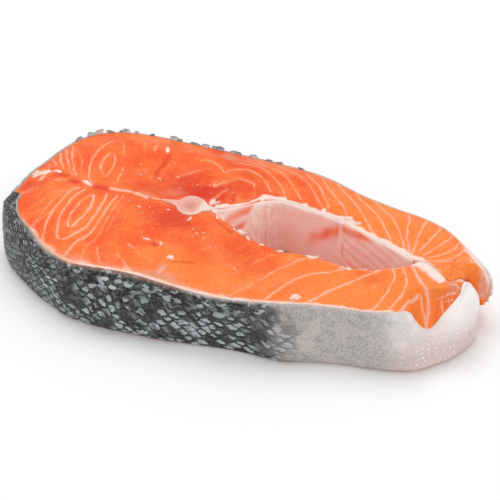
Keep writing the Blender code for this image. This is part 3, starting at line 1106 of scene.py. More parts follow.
# Marbling round the far lateral line and on to the far flap.
FAR_SIDE = (
    Seam(0.7, 0.4, (-45.6, 28.8, -45.3, 33.1, -42.3, 36.1, -38.1, 37.9)),
    Seam(0.7, 0.4, (-37, 33.1, -34.9, 37.4, -31.2, 38.1, -27.4, 36.2)),
    Seam(0.9, 0.75, (-34.1, 30.9, -32, 33, -28.3, 32.4, -25.1, 30.7, -23, 28.6)),
    Seam(0.8, 0.7, (-39.2, 17.5, -36.7, 21, -33.6, 24, -30.5, 27.3)),
    Seam(0.9, 0.8, (-23.4, 30, -22.9, 28.4, -22.6, 27.4)),
    Seam(0.9, 0.8, (-22.5, 27.4, -20.6, 30.5, -17.8, 32, -14.2, 33, -10.6, 32.4, -6.1, 29.7, -2, 25.5, -0.6, 22)),
    Seam(0.8, 0.7, (-23, 35.6, -17.6, 37, -12, 37.8, -8, 36.2, -4, 33.6, 0, 30, 2.6, 27.2, 4.8, 23.8, 6.2, 20.6)),
    Seam(0.8, 0.7, (-14, 40.4, -8, 40.2, -3, 38.2, 1.6, 35, 5, 31.4, 8, 28, 11, 24.4, 14, 21.6)),
    Seam(0.8, 0.7, (-3, 42, 3.6, 40, 8, 36.8, 12, 33, 16, 28.4, 19.6, 23.8, 22.4, 20.4)),
    Seam(1.0, 0.9, (-24.2, 21.8, -23.2, 19.8, -22.4, 17.3)),
    Seam(0.9, 0.75, (-22.4, 17.3, -21.6, 20.1, -20.4, 21.8, -17.6, 24.6, -14.9, 26.2, -11.3, 25.9, -8.4, 24.6,
                     -6.6, 22)),
    Seam(0.7, 0.45, (-6.6, 22, -5.9, 18.6, -6.4, 14.4, -9, 11.2)),
    Seam(0.8, 0.6, (-20.3, 10, -18.4, 14.8, -16.3, 20.2)),
    Seam(0.6, 0.35, (-13, 19, -14.6, 15, -15.6, 11)),
    Seam(0.9, 0.75, (8.6, 41, 12, 37.8, 17, 32, 21.4, 26, 24.6, 20.8)),
    Seam(0.9, 0.8, (15, 40.4, 19, 35.6, 23.4, 30.6, 28, 25.4, 32.4, 20, 35, 17)),
    Seam(1.0, 0.85, (22, 39, 28, 33.6, 33, 28.2, 37.2, 23, 41, 18.4, 45, 14, 48.6, 11)),
    Seam(1.0, 0.85, (30.4, 36, 36.6, 30.6, 41, 26, 45.2, 21.4, 49.8, 15.6, 53.6, 10.4)),
    Seam(0.9, 0.8, (38, 35, 43, 31, 48, 26, 52.6, 20, 56.4, 14, 59, 8.4)),
    Seam(1.0, 0.85, (53.6, 31.4, 55.2, 26.4, 56.4, 21, 57.8, 15.4, 60.4, 10.4, 61.6, 7)),
    Seam(1.0, 0.85, (61, 29.6, 61.4, 22, 61.8, 15, 62.4, 10, 62.8, 6.4)),
    Seam(1.0, 0.85, (67, 28, 66.8, 20.4, 65.6, 13, 64.2, 7.4)),
    Seam(1.0, 0.8, (72.6, 24.8, 71.2, 17.4, 69, 11.4, 66.2, 7)),
    Seam(1.0, 0.8, (76.6, 21.6, 75.9, 15.4, 73.4, 11, 69.8, 8, 67, 6.4)),
    Seam(0.9, 0.75, (79.6, 18.8, 78.7, 13, 77.2, 9.6, 73, 7.6, 69, 6)),
    Seam(0.9, 0.75, (82, 10.6, 76.2, 7.8, 71, 6, 68, 5)),
    Seam(0.7, 0.6, (76, 5.4, 73, 4.6, 70, 4)),
    Seam(0.8, 0.7, (78.6, 6, 77.2, 3.6, 76.2, 1.6)),
    Seam(0.8, 0.6, (81.2, 5.2, 83, 4.4, 84.4, 3.4)),
    Seam(1.2, 0.8, (83, 16.4, 84.2, 12.6, 84.8, 9.2)),
)
# Marbling round the near lateral line and on to the near flap.
NEAR_SIDE = (
    Seam(0.6, 0.45, (-39.5, -18, -37.4, -19.6, -35.8, -21.2)),
    Seam(0.9, 0.8, (-35.4, -22.2, -33, -22.8, -30.8, -22.6)),
    Seam(1.1, 0.85, (-28.4, -22, -27, -23.2, -25.8, -24.4)),
    Seam(0.7, 0.75, (-39.2, -26.6, -37.4, -28.4, -35.4, -29.4, -33, -30)),
    Seam(0.7, 0.6, (-34.4, -31.2, -30, -33, -26.6, -33.6, -23.8, -33.8)),
    Seam(0.8, 0.7, (-40.4, -33.6, -37.6, -36.4, -35, -38.6, -31, -41)),
    Seam(0.7, 0.5, (-20.4, -32.6, -19.4, -36, -17.4, -39.4)),
    Seam(0.6, 0.4, (-19.8, -35.6, -13, -37.4, -5, -34.6, 2, -31.6)),
    Seam(0.7, 0.45, (-9, -41.6, -3, -42.6, 1.6, -40.4, 5.4, -37.6)),
    Seam(0.8, 0.6, (-14, -41.4, -8, -42.8, 0, -43, 6, -42)),
    Seam(0.7, 0.4, (3.4, -9.6, 2.4, -13, 0.8, -17)),
    Seam(0.8, 0.7, (3.4, -26, 4.6, -26.8, 5.2, -27.8)),
    Seam(0.6, 0.35, (-10, -18, -5, -20.6, -1, -24)),
    Seam(0.9, 0.6, (16, -12.4, 13.4, -15.6, 11, -19.4, 9.4, -23)),
    Seam(0.7, 0.4, (9.4, -23, 6, -28, 2, -34, 0, -39)),
    Seam(0.9, 0.75, (30.4, -9.6, 26, -12.2, 22, -17.6, 18.2, -23.6, 15, -31)),
    Seam(0.9, 0.6, (15, -31, 11.4, -36.4, 8.6, -41)),
    Seam(1.1, 0.85, (43, -10.6, 38, -15, 32, -19.2, 27.2, -25, 24, -31, 21.8, -37)),
    Seam(1.2, 0.9, (55.4, -6, 52, -11, 48, -17, 43.2, -23.8, 39, -29.8, 35.6, -35)),
    Seam(1.8, 0.55, (39.2, -29.4, 37.2, -32.4, 34.6, -35.4)),
    Seam(1.6, 0.4, (56.6, -14.8, 56.2, -18, 55.8, -21.2)),
    Seam(1.0, 0.85, (58.2, -3.2, 60.8, -8.6, 61.6, -15.4, 61.2, -22.4, 59.6, -28.2)),
    Seam(1.0, 0.85, (62.6, -3.2, 65.4, -8.4, 66.9, -14.8, 66.5, -20.8, 65.2, -26.6)),
    Seam(1.6, 0.95, (65.4, -0.4, 69.4, -6.2, 73.4, -10.2, 75.6, -12.6, 76.6, -15.6, 77.2, -19)),
    Seam(1.0, 0.7, (79.6, -9.4, 80.6, -12, 81.8, -14.6)),
    Seam(0.9, 0.6, (81.2, -8.8, 83, -11, 84, -12.6)),
    Seam(1.2, 0.9, (72.3, -12.4, 71.2, -15.6, 70.2, -19.4, 69.6, -23.4)),
    Seam(1.2, 0.9, (72.6, -12.2, 73.8, -14.2, 75.2, -16.6, 76.6, -18.6, 77.9, -20.4)),
)
# Pale band from the back through the backbone.
MIDDLE = (
    Seam(2.0, 0.95, (-61, 1.8, -56, 2.6, -51, 3.2, -46.6, 2.6, -42.6, 2.2)),
    Seam(1.1, 0.9, (-43, 2.4, -40.6, 2.8, -38.2, 2.8)),
    Seam(1.2, 0.85, (-73, 3.0, -69.6, 1.4, -65.8, 0.2)),
    Seam(1.4, 0.8, (-83.4, 5, -86, 3.2, -89.6, 3.6, -92.6, 1.4)),
    Seam(1.2, 0.65, (-78.8, 0.4, -80.8, -0.8, -83, -1.2)),
    Seam(1.3, 0.7, (-86.6, -0.6, -88.2, -2.2, -88.4, -4)),
    Seam(1.2, 0.6, (-90.4, -11.6, -91.4, -13.4, -90.4, -16)),
    Seam(0.8, 0.5, (-41, 1.6, -36.4, 0.8, -32.8, 0.2)),
)
FLESH_SEAMS = NEAR_BACK + FAR_BACK + FAR_SIDE + NEAR_SIDE + MIDDLE

# Grooves and dark fissures.
FISSURES = (
    Seam(1.6, 0.6, (-46.8, 32.6, -46.6, 27.6, -46.9, 22.4, -46.8, 18.2, -46.0, 13.4)),
    Seam(0.5, 0.5, (-20.2, -32.2, -15.4, -30.4, -10, -28.4)),
    Seam(1.6, 0.8, (-64.4, 1.4, -61.4, 0.8)),
    Seam(1.4, 0.7, (-51.6, 5, -48.6, 4.6)),
    Seam(1.2, 0.6, (-31, -24.6, -28.6, -25.2)),
    Seam(1.0, 0.6, (-12, -2.8, -8, -5.2, -4, -7.6)),
    Seam(1.0, 0.35, (79.2, -10.8, 79.4, -13.6, 80, -17)),
)
# Deep red areas.
DEEP = (
    Patch(-25, 13.6, 12, 4.4, 4, 1.0), Patch(-33, 14, 9, 7, 60, 0.7), Patch(-18.6, 15, 5, 5.6, 0, 0.9),
    Patch(-29.4, -7, 8.4, 6.0, 0, 0.75), Patch(-36, -6, 7, 5, 0, 0.45), Patch(-74, 0.4, 3, 1.8, 0, 0.9),
    Patch(-63, 0.6, 4, 1.8, 0, 0.9), Patch(-46, 8, 9, 4, 40, 0.5), Patch(-28.8, -24.6, 2.0, 1.2, 0, 0.9),
    Patch(-81, 2.4, 3.4, 1.6, 0, 0.7), Patch(-90, -7, 4, 3, 0, 0.45), Patch(-10, 22, 10, 6, 0, 0.45),
    Patch(0, -16, 12, 6, -20, 0.25), Patch(82.6, -12, 2.6, 4, -30, 0.4), Patch(86.6, 3.6, 1.4, 1.4, 0, 0.8),
    Patch(80.6, -17.5, 1.8, 3.4, -30, 0.3), Patch(-12, 33, 12, 5, -20, 0.35), Patch(52, -12, 6, 5, 0, 0.35),
)
# Whitish patches of fat and membrane, and one of painted light on the curled far tip.
WHITE = (
    Patch(-69.4, 1.6, 2.0, 1.0, -20, 0.8), Patch(-83.2, 4, 1.4, 1.0, 0, 0.8), Patch(-88.4, 3, 2.6, 1.8, 20, 0.75),
    Patch(-87.6, -1, 1.2, 1.8, 0, 0.45), Patch(-92.0, 1.6, 1.4, 2.4, 20, 0.6),
    Patch(-49.4, 33.8, 0.9, 2.2, 20, 0.75), Patch(-20.0, -29.2, 1.5, 1.2, 0, 0.6),
    Patch(-20.4, -37.6, 1.2, 2.4, 0, 0.35), Patch(-76.4, -33.0, 1.0, 1.6, 30, 0.5),
    Patch(34.6, 17.2, 2.0, 0.8, -26, 0.7), Patch(-14.5, 7.6, 3.6, 1.4, 35, 0.7),
    Patch(84.6, -1.4, 2.2, 0.8, 40, 0.6), Patch(-16.4, 4.3, 3.0, 1.6, -8, 0.85), Patch(-12, -43.2, 4, 0.8, 0, 0.5),
    Patch(88.8, 12.0, 2.4, 1.6, -45, 0.7), Patch(31.2, -33.0, 1.7, 1.4, 30, 0.6),
    # Patch(91.2, 6.2) is painted light: it lightens the end of the curled far tip, which slopes into shade.
    Patch(86.4, 2.6, 2.2, 1.1, 50, 0.6), Patch(91.2, 6.2, 2.6, 3.6, 20, 0.42), Patch(-19, 8.2, 1.2, 1.9, 0, 0.7),
)
# Smooth whitish bands along the lips of the cavity and of the slit.
BANDS = (
    Seam(3.0, 0.95, (-2, 18.8, 6, 19.8, 17, 18.6, 29, 16.8, 37, 14.2)),
    Seam(2.8, 0.95, (36, 14.6, 46, 11.4, 56, 8.0, 64, 4.9, 69, 4.7)),
    Seam(2.6, 0.9, (-1.9, 16.8, -1.6, 19.2, -1.4, 21.2)), Seam(2.0, 0.85, (6.4, 18.6, 6.0, 20.4, 5.5, 22.4)),
    Seam(2.0, 0.8, (13.6, 19.2, 14.6, 20.6, 15.5, 22.0)), Seam(2.0, 0.8, (22.8, 18.2, 22.6, 19.8, 22.3, 21.6)),
    Seam(2.4, 0.85, (28.6, 17.4, 32.4, 18.6, 35.6, 18.4)), Seam(2.2, 0.8, (34, 15.6, 37, 16.6, 39.4, 17.2)),
    Seam(1.6, 0.8, (-15, 7.4, -10, 10.2, -6, 13.8, -2.6, 18)),
    Seam(5.2, 1.0, (64.0, 0.9, 68.2, 1.9, 72.4, -0.4, 76.4, -3.9, 79.2, -6.0)),
    Seam(0.7, 0.8, (80.2, -6.6, 82.0, -5.6, 84.2, -5.4)), Seam(0.6, 0.7, (81.0, -9.2, 83.0, -8.0, 85.0, -7.6)),
    Seam(0.6, 0.7, (81.4, -3.6, 83.2, -3.4, 84.6, -2.4)), Seam(0.5, 0.6, (82.4, -10.6, 84.0, -9.8, 85.4, -9.6)),
    Seam(0.8, 0.45, (30, -10.4, 36, -11.2, 43, -11.8, 51, -9.4, 58, -5.4, 63, -1.8)),
    Seam(1.4, 0.7, (-50, -44.4, -42, -43.6, -31, -42.2, -18, -42.8, -5, -43.6, 7, -43.0, 17, -40.8, 28, -37.6,
                    38, -34.2, 49, -32.0, 59, -30.2, 66, -27.6)),
)
# Greyish pink translucent areas.
VEIL = (
    Patch(-20, -41, 9, 2.6, 3, 0.8), Patch(-24, 40.4, 5, 2.6, 0, 0.7), Patch(-20.6, -36.4, 2.2, 3.4, 0, 0.6),
    Patch(82.8, -5.6, 2.8, 2.8, -20, 0.7), Patch(-45, 3.4, 4, 1.8, 0, 0.5), Patch(-16, 2.2, 2.4, 1.8, 0, 0.5),
    Patch(-36, -41.8, 9, 1.8, 3, 0.5), Patch(-8, 43, 16, 1.8, 0, 0.4), Patch(16, 41.4, 9, 1.6, -14, 0.35),
    Patch(-36, 8.5, 5, 2.4, 30, 0.3), Patch(-52, -43.6, 8, 2.2, 0, 0.5),
)
# Lumps and hollows of the cut face: the last number is the height in mm.
SWELLS = (
    Patch(-18.2, -1.4, 5.0, 2.8, -8, 0.75), Patch(-64, -15, 8, 14, 0, 0.35), Patch(-67, 20, 7, 13, 0, 0.35),
    Patch(-11, 27, 9, 8, 0, 0.4), Patch(-27, 13, 9, 5, 0, -0.5), Patch(-28, -7, 8, 6, 0, -0.45),
    Patch(-2, 20.4, 7, 3, 0, 0.4), Patch(72, -1, 9, 3, -25, 0.35), Patch(83, -5.4, 4.0, 3.0, 0, 0.3),
    Patch(23.4, -11.6, 5.0, 3.0, 0, 0.7), Patch(12, -12, 5, 3, 0, 0.5), Patch(36, -12.4, 5, 3, 0, 0.6),
    Patch(4, -10.6, 4, 3, -40, 0.4), Patch(-46, 22, 2.0, 10, 12, -0.5), Patch(-15, -30.4, 6, 1.0, 15, -0.45),
    Patch(52, -18, 10, 8, -50, 0.35), Patch(33, -24, 10, 7, -50, 0.3), Patch(-88, 6, 6, 4, 0, 0.3),
    Patch(48, 20, 9, 5, -50, 0.3),
)


@dataclass
class Marbling:
    """Fields of fat, colour and relief over the cut face."""

    section: Section

    def grown(self, path: np.ndarray) -> np.ndarray:
        """Path whose ends near the skin or the cavity reach on to it.

        Args:
            path: Rows of x, y.

        Returns:
            The path, longer where an end was near.
        """
        for _ in range(2):
            path = path[::-1]
            for tree, most in ((self.section.outer_tree, 5.5), (self.section.cavity_tree, 3.0)):
                _, gap = closest(tree, path[:1])
                if 1.0 < gap[0] < most:
                    way = path[0] - path[4]
                    steps = np.arange(gap[0], 0.0, -SEAM_STEP)[:, None]
                    path = np.vstack([path[0] + way / np.linalg.norm(way) * steps, path])
        return path

    def lines(self, xy: np.ndarray, seams: tuple, spread: float, wander: bool = True) -> np.ndarray:
        """Strongest line at each plan point.

        Args:
            xy: Rows of x, y.
            seams: The lines.
            spread: Width of the profile against that of the line.
            wander: Whether the lines waver in width and strength.

        Returns:
            One value from 0 to 1 for each row.
        """
        out = np.zeros(len(xy))
        for n, seam in enumerate(seams):
            path = self.grown(seam.path())
            path = path + 0.26 * np.column_stack([ruffle(path, 2.8, 50.0 + n), ruffle(path, 3.1, 90.0 + n)])
            reach = seam.width * spread * 1.6 + 0.8
            low, high = path.min(axis=0) - reach, path.max(axis=0) + reach
            near = np.nonzero(((xy > low) & (xy < high)).all(axis=1))[0]
            if not len(near):
                continue
            gap = np.hypot(xy[near, 0:1] - path[None, :, 0], xy[near, 1:2] - path[None, :, 1])
            j = np.argmin(gap, axis=1)
            d = gap[np.arange(len(near)), j]
            run = np.arange(len(path)) * SEAM_STEP
            end = smoothstep(np.minimum(run, run[-1] - run) / min(2.4, run[-1] / 2.2) + 0.25)
            wave = ruffle(path, 2.6, 7.0 + n) if wander else np.zeros(len(path))
            width = seam.width * 0.5 * spread * (1.0 + 0.30 * wave)
            share = seam.strength * end * (1.0 + 0.20 * ruffle(path, 4.0, 31.0 + n) if wander else 1.0)
            out[near] = np.maximum(out[near], share[j] * np.exp(-((d / width[j]) ** 2)))
        return np.clip(out, 0.0, 1.0)

    def areas(self, xy: np.ndarray, patches: tuple, soft: float, ragged: float) -> np.ndarray:
        """Strongest patch at each plan point.

        Args:
            xy: Rows of x, y.
            patches: The patches.
            soft: Width of the edge against the patch.
            ragged: How far the edge wavers.

        Returns:
            One value for each row.
        """
        out = np.zeros(len(xy))
        waver = (ruffle(xy, 2.2, 3.0) + 0.7 * ruffle(xy, 0.9, 6.0)) * ragged
        for patch in patches:
            out = np.maximum(out, patch.strength * fade(patch.reach(xy) + waver, 1.0 + soft, 1.0 - soft))
        return out

    def fields(self, xy: np.ndarray) -> dict[str, np.ndarray]:
        """Everything the flesh finish reads.

        Args:
            xy: Rows of x, y of the cut face.

        Returns:
            Values at each row, by name.
        """
        x, y = xy[:, 0], xy[:, 1]
        _, rim = closest(self.section.outer_tree, xy)
        side = fade(y, -10.0, -22.0) * fade(x, 50.0, 10.0)
        waver = 0.6 * ruffle(xy, 3.4, 3.0) + 0.35 * ruffle(xy, 1.2, 6.0)
        fat_edge = fade(rim + waver, 3.9, 1.9) * side * 0.95 + fade(rim, 2.5, 1.3) * 0.45
        tip = fade(x, 74, 84) * fade(y, 2, 9) * fade(rim + waver, 4.2, 2.2)
        near_edge = 0.7 * fade(y, -20.0, -34.0) * fade(x, -44.0, -26.0) * fade(x, 30.0, 0.0)
        return {
            "fat": np.maximum(self.lines(xy, FLESH_SEAMS, 0.9), 0.8 * fat_edge),
            "halo": self.lines(xy, FLESH_SEAMS, 3.2, False),
            "deep": np.maximum(self.areas(xy, DEEP, 0.85, 0.35), self.lines(xy, FISSURES, 1.3)),
            "white": np.max([self.areas(xy, WHITE, 0.22, 0.3), self.lines(xy, BANDS, 1.0), tip * 0.8], axis=0),
            "veil": np.maximum(self.areas(xy, VEIL, 0.4, 0.3), 0.5 * fade(rim, 4.6, 1.6) * side),
            "flap": 0.95 * fade(x, 4.0, 42.0) + 0.25 * fade(x, 78.0, 88.0) + near_edge,
        }

    def relief(self, xy: np.ndarray, values: dict[str, np.ndarray]) -> np.ndarray:
        """How far the face stands above its plain form.

        Args:
            xy: Rows of x, y.
            values: The fields there.

        Returns:
            Heights in mm.
        """
        out = -0.30 * values["halo"] + 0.10 * values["fat"] + 0.22 * values["white"]
        out = out - 0.55 * self.lines(xy, FISSURES, 1.0)
        for swell in SWELLS:
            out = out + swell.strength * fade(swell.reach(xy), 1.3, 0.2)
        out = out + 0.20 * ruffle(xy, 7.5) + 0.09 * ruffle(xy, 2.4, 5.0) + 0.05 * ruffle(xy, 1.1, 9.0)
        _, rim = closest(self.section.outer_tree, xy)
        # the flesh gives way under the skin that laps over the near tip
        under = fade(xy[:, 0], 80.0, 83.0) * fade(xy[:, 1], 0.6, -1.6) * fade(xy[:, 1], -14.0, -8.0)
        return out * fade(rim, 1.0, 4.0) - 0.12 * fade(rim, 3.6, 1.4) - 0.8 * under * fade(rim, 3.3, 2.2)


# ---------------------------------------------------------------- sub-assemblies


@dataclass
class Flesh:
    """The C-shaped slab of flesh.

    Attributes:
        section: The shared outline.
        top_cell: Spacing of points on the upper face in mm.
        base_cell: Spacing of points on the lower face in mm.
        wall_rows: Rows of faces between the rims.
        wall_rough: Unevenness of the walls in mm.
        wall_shift: How far the marbling shifts in x and y from rim to foot of a wall, in mm.
        map_corner: Corner of the flat map from the middle of the slice in mm.
        map_scales: Share of the flat map's side for 1 mm of the upper and of the lower face.
        map_base: Where the lower face begins on the flat map.
        map_walls: Left edge, width, lower edge and height of the walls on the flat map.
    """

    section: Section
    top_cell: float = 0.56
    base_cell: float = 0.84
    wall_rows: int = 12
    wall_rough: float = 0.112
    wall_shift: tuple[float, float] = (0.945, -0.54)
    map_corner: tuple[float, float] = (97.0, 50.0)
    map_scales: tuple[float, float] = (0.00505, 0.00315)
    map_base: float = 0.512
    map_walls: tuple[float, float, float, float] = (0.005, 0.99, 0.84, 0.15)

    def sheet(self, cell: float) -> tuple[np.ndarray, list]:
        """Flat triangulated face within the outline and round the bone.

        Args:
            cell: Spacing of its points in mm.

        Returns:
            Rows of x, y, first those of the two rings, and tuples of three indices.
        """
        s = self.section
        low, high = s.points.min(axis=0), s.points.max(axis=0)
        rows = np.arange(low[1], high[1], cell * math.sqrt(3.0) / 2.0)
        columns = np.arange(low[0], high[0], cell)
        grid = np.vstack([np.stack([columns + 0.5 * cell * (n % 2), np.full(len(columns), y)], axis=1)
                          for n, y in enumerate(rows)])
        grid = grid + 0.16 * cell * np.stack([np.sin(grid[:, 0] * 7.1 + grid[:, 1] * 3.3),
                                              np.sin(grid[:, 1] * 6.3 - grid[:, 0] * 4.1)], axis=1)
        grid = grid[within(grid, s.points) & ~within(grid, s.hole)]
        for tree in (s.tree, s.hole_tree):
            grid = grid[closest(tree, grid)[1] > 0.62 * cell]
        return fill(s.points, grid, s.hole)

    def shape(self, plan: np.ndarray, h: float, lift: np.ndarray) -> np.ndarray:
        """Points of the slab at a height share.

        Args:
            plan: Rows of x, y at the upper face.
            h: 0 at the lower face, 1 at the upper.
            lift: Relief of the upper face at those rows, in mm.

        Returns:
            Rows of x, y, z.
        """
        s = self.section
        high, i, d = s.face(plan)
        _, to_bone = closest(s.hole_tree, plan)
        follow = (1.0 - smoothstep(d / FOOT_REACH)) * to_bone / (to_bone + d + 1e-9)
        follow = follow * wall_out(h, s.power[i])
        low = underside(plan)
        place = plan + s.foot[i] * follow[:, None]
        return np.column_stack([place, low + h * (high + lift - low)])

    def build(self, marbling: Marbling, finish: FleshFinish) -> bpy.types.Object:
        """Make the flesh.

        Args:
            marbling: Its fields and relief.
            finish: Its finish.

        Returns:
            The piece.
        """
        s = self.section
        net = Net()
        top_plan, top_faces = self.sheet(self.top_cell)
        top = marbling.fields(top_plan)
        lift = marbling.relief(top_plan, top)
        net.add(self.shape(top_plan, 1.0, lift), top_faces)
        plan, faces = self.sheet(self.base_cell)
        first = net.add(self.shape(plan, 0.0, np.zeros(len(plan))), [f[::-1] for f in faces])
        sets = [top, marbling.fields(plan)]
        outer, ring = len(s.points), len(s.points) + len(s.hole)
        base, above = np.arange(first, first + ring), np.arange(ring)
        for row in range(1, self.wall_rows + 1):
            below = base
            if row < self.wall_rows:
                share = row / self.wall_rows
                wall = self.shape(top_plan[:ring], 1.0 - share, lift[:ring])
                wall[:, :2] += self.wall_rough * ruffle(wall, 3.2, 2.0)[:, None]
                first = net.add(wall, [])
                sets.append(marbling.fields(top_plan[:ring] + np.array(self.wall_shift) * share))
                below = np.arange(first, first + ring)
            net.wall(above[:outer], below[:outer])
            net.wall(above[outer:], below[outer:])
            above = below
        fields = {key: np.clip(np.concatenate([values[key] for values in sets]), 0.0, 1.0) for key in top}
        piece = net.piece("steak_flesh", fields, finish.material())
        self.unwrap(piece)
        settle(piece, Slot.FLESH, "flesh")
        return piece

    def unwrap(self, piece: bpy.types.Object) -> None:
        """Lay the faces out flat: the upper face large, the lower face smaller, the walls beside it.

        Args:
            piece: The flesh.
        """
        mesh = piece.data
        mesh.update()
        count = len(mesh.polygons)
        normal = np.empty(count * 3)
        mesh.polygons.foreach_get("normal", normal)
        total = np.empty(count, dtype=int)
        mesh.polygons.foreach_get("loop_total", total)
        up = normal.reshape(-1, 3)[:, 2]
        wall = total == 4
        kind = np.repeat(np.where(wall, 1, np.where(up > 0, 0, 2)), total)
        corner = np.empty(len(mesh.loops), dtype=int)
        mesh.loops.foreach_get("vertex_index", corner)
        place = np.empty(len(mesh.vertices) * 3)
        mesh.vertices.foreach_get("co", place)
        place = place.reshape(-1, 3)[corner] / MM
        x, y = place[:, 0] + self.map_corner[0], place[:, 1] + self.map_corner[1]
        large, small = self.map_scales
        u = np.select([kind == 0, kind == 2], [x * large, x * small])
        v = np.select([kind == 0, kind == 2], [y * large, self.map_base + y * small])
        ring = len(self.section.points) + len(self.section.hole)
        loops = np.nonzero(kind == 1)[0].reshape(-1, 4)
        slot, row = np.arange(len(loops)) % ring, np.arange(len(loops)) // ring
        left, width, bottom, height = self.map_walls
        for k, (du, dv) in enumerate(((0, 0), (1, 0), (1, 1), (0, 1))):
            u[loops[:, k]] = left + (slot + du) / ring * width
            v[loops[:, k]] = bottom + (row + dv) / self.wall_rows * height
        layer = mesh.uv_layers.new(name="OFBake")
        layer.data.foreach_set("uv", np.column_stack([u, v]).ravel())


@dataclass
class Skin:
    """Skin round the outside of the slice, folded over the cut at the near shoulder of the back.

    Attributes:
        section: The shared outline.
        rows: Rows of points up the outer wall.
        inner_rows: Rows of points down the inner side, a third as many faces.
        across: Rows of points over the upper edge.
        scale_rise: Height of a scale in mm.
        smooth_x: Where the scales begin to give way to smooth skin, and where they have.
        belly_x: Where the white of the belly begins, and where it is full.
        back_x: Where the small dark scales of the back begin, and where they are full.
        small_x: Where the scales begin to get smaller toward the back, and where they are smallest.
        height: Height that the field rise is measured against, in mm.
    """

    section: Section
    rows: int = 37
    inner_rows: int = 13
    across: int = 8
    scale_rise: float = 0.32
    smooth_x: tuple[float, float] = (16.0, 50.0)
    belly_x: tuple[float, float] = (58.0, 80.0)
    back_x: tuple[float, float] = (-54.0, -76.0)
    small_x: tuple[float, float] = (-42.0, -78.0)
    height: float = 23.0

    def __post_init__(self) -> None:
        """Work out what all rows of points share."""
        s = self.section
        x, y = s.outer_side[:, 0], s.outer_side[:, 1]
        self.size = 1.04 - 0.50 * fade(x, *self.small_x)
        paced = np.concatenate([[0.0], np.cumsum(np.diff(run_of(s.outer_side)) / self.size[1:])])
        self.along = np.abs(paced - paced[int(np.argmin(x))])
        self.low = LIFT + underside(s.outer_side)
        self.rim = s.outer_rim - 0.45 * fade(s.outer_normal[:, 1], 0.1, 0.6) * fade(x, 84.0, 78.0)
        self.fold = self.folded(x, y)
        self.over = fade(self.fold, 0.2, 1.6)
        self.bend = 0.35 + 0.5 * fade(self.fold, 0.2, 2.0) + 1.6 * fade(x, 76.0, 84.0) * (y < NOTCH_Y)
        self.smooth, self.belly = fade(x, *self.smooth_x), fade(x, *self.belly_x)
        self.back = fade(x, *self.back_x)
        self.warm = fade(x, -66.0, -54.0) * fade(x, -2.0, -14.0)
        self.made: list[np.ndarray] = []
        self.fields: dict[str, list] = {}

    def folded(self, x: np.ndarray, y: np.ndarray) -> np.ndarray:
        """How far the skin reaches in over the cut.

        Args:
            x: x of each point of the rim.
            y: y of each point of the rim.

        Returns:
            One reach in mm for each.
        """
        reach = np.interp(-y, (12.2, 12.8, 16.0, 19.0, 21.5, 23.8, 26.3, 29.6, 32.5, 35.8, 39.0, 42.0),
                          (0.0, 4.0, 5.4, 5.1, 4.6, 4.0, 2.7, 1.5, 1.1, 0.7, 0.45, 0.1))
        tip = (x > 78.0) * (y < NOTCH_Y) * 2.6 * fade(y, -12.0, -3.0) * (0.15 + 0.85 * fade(y, 0.4, -2.4))
        return reach * (x < -60.0) + tip

    def lattice(self, up: np.ndarray, place: np.ndarray) -> tuple[np.ndarray, np.ndarray]:
        """Place of each point in the slanted rows of scales.

        Args:
            up: Distance up the wall in mm.
            place: Rows of x, y, z.

        Returns:
            Coordinates whose whole numbers count the scales along their two rows.
        """
        sway = 0.9 * ruffle(place, 14.0, 4.0) + 0.35 * ruffle(place, 5.0, 8.0)
        u = self.along + sway + 0.50 * ruffle(place, 2.3, 1.0)
        v = up / self.size + 0.9 * sway + 0.40 * ruffle(place, 2.6, 6.0)
        v = v + 0.16 * u + 0.42 * np.minimum(u, 58.0)
        return 0.215 * u + 0.225 * v, 0.215 * u - 0.225 * v

    def keep(self, place: np.ndarray, up: np.ndarray, cut: np.ndarray) -> None:
        """Take in one row of points with its fields.

        Args:
            place: Rows of x, y, z.
            up: Distance of each up the wall in mm.
            cut: How far the cut edge shows at each, 0 to 1.
        """
        a, b = self.lattice(up, place)
        waver = 0.16 * ruffle(place, 6.0, 12.0) * (self.smooth > 0) * (self.smooth < 1)
        self.made.append(place)
        for key, value in (("row_a", a), ("row_b", b), ("smooth", np.clip(self.smooth + waver, 0, 1)),
                           ("belly", self.belly), ("cut", cut * (1.0 - self.belly)), ("back", self.back),
                           ("rise", up / self.height), ("warm", self.warm)):
            self.fields.setdefault(key, []).append(value)

    def outside(self, h: float) -> None:
        """Add a row of the outer wall, with its scales.

        Args:
            h: Its height share, 0 to 1.
        """
        s = self.section
        up = h * (self.rim - self.low)
        z = self.low + up
        place = np.column_stack([s.outer_side + s.outer_foot * wall_out(h, s.outer_power)[:, None], z])
        a, b = self.lattice(up, place)
        lot = np.sin(np.floor(a) * 12.9898 + np.floor(b) * 78.233) * 43758.5453 % 1.0
        level, post = a % 1.0 + b % 1.0 - 1.0, a % 1.0 - b % 1.0
        shape = np.abs(1.05 * level) ** 1.3 + np.abs(1.75 * post) ** 1.5
        rise = self.scale_rise * fade(shape, 1.3, 0.7) * (0.5 + 0.5 * lot + 0.35 * level)
        rise = rise * (1.0 - self.smooth) + 0.16 * ruffle(place, 5.0) + 0.07 * ruffle(place, 1.8, 3.0)
        tuck = 1.0 if 0.03 < h < 0.99 else 0.3
        round_off = np.sqrt(1.0 - np.clip((z - self.rim) / self.bend + 1.0, 0.0, 1.0) ** 2)
        lean = self.bend * (1.0 - round_off) * 0.8
        place[:, :2] += s.outer_normal * (rise * tuck - lean)[:, None]
        self.keep(place, up, fade(np.full(len(place), h), 0.97, 1.0) * 0.5 * (1.0 - self.over))

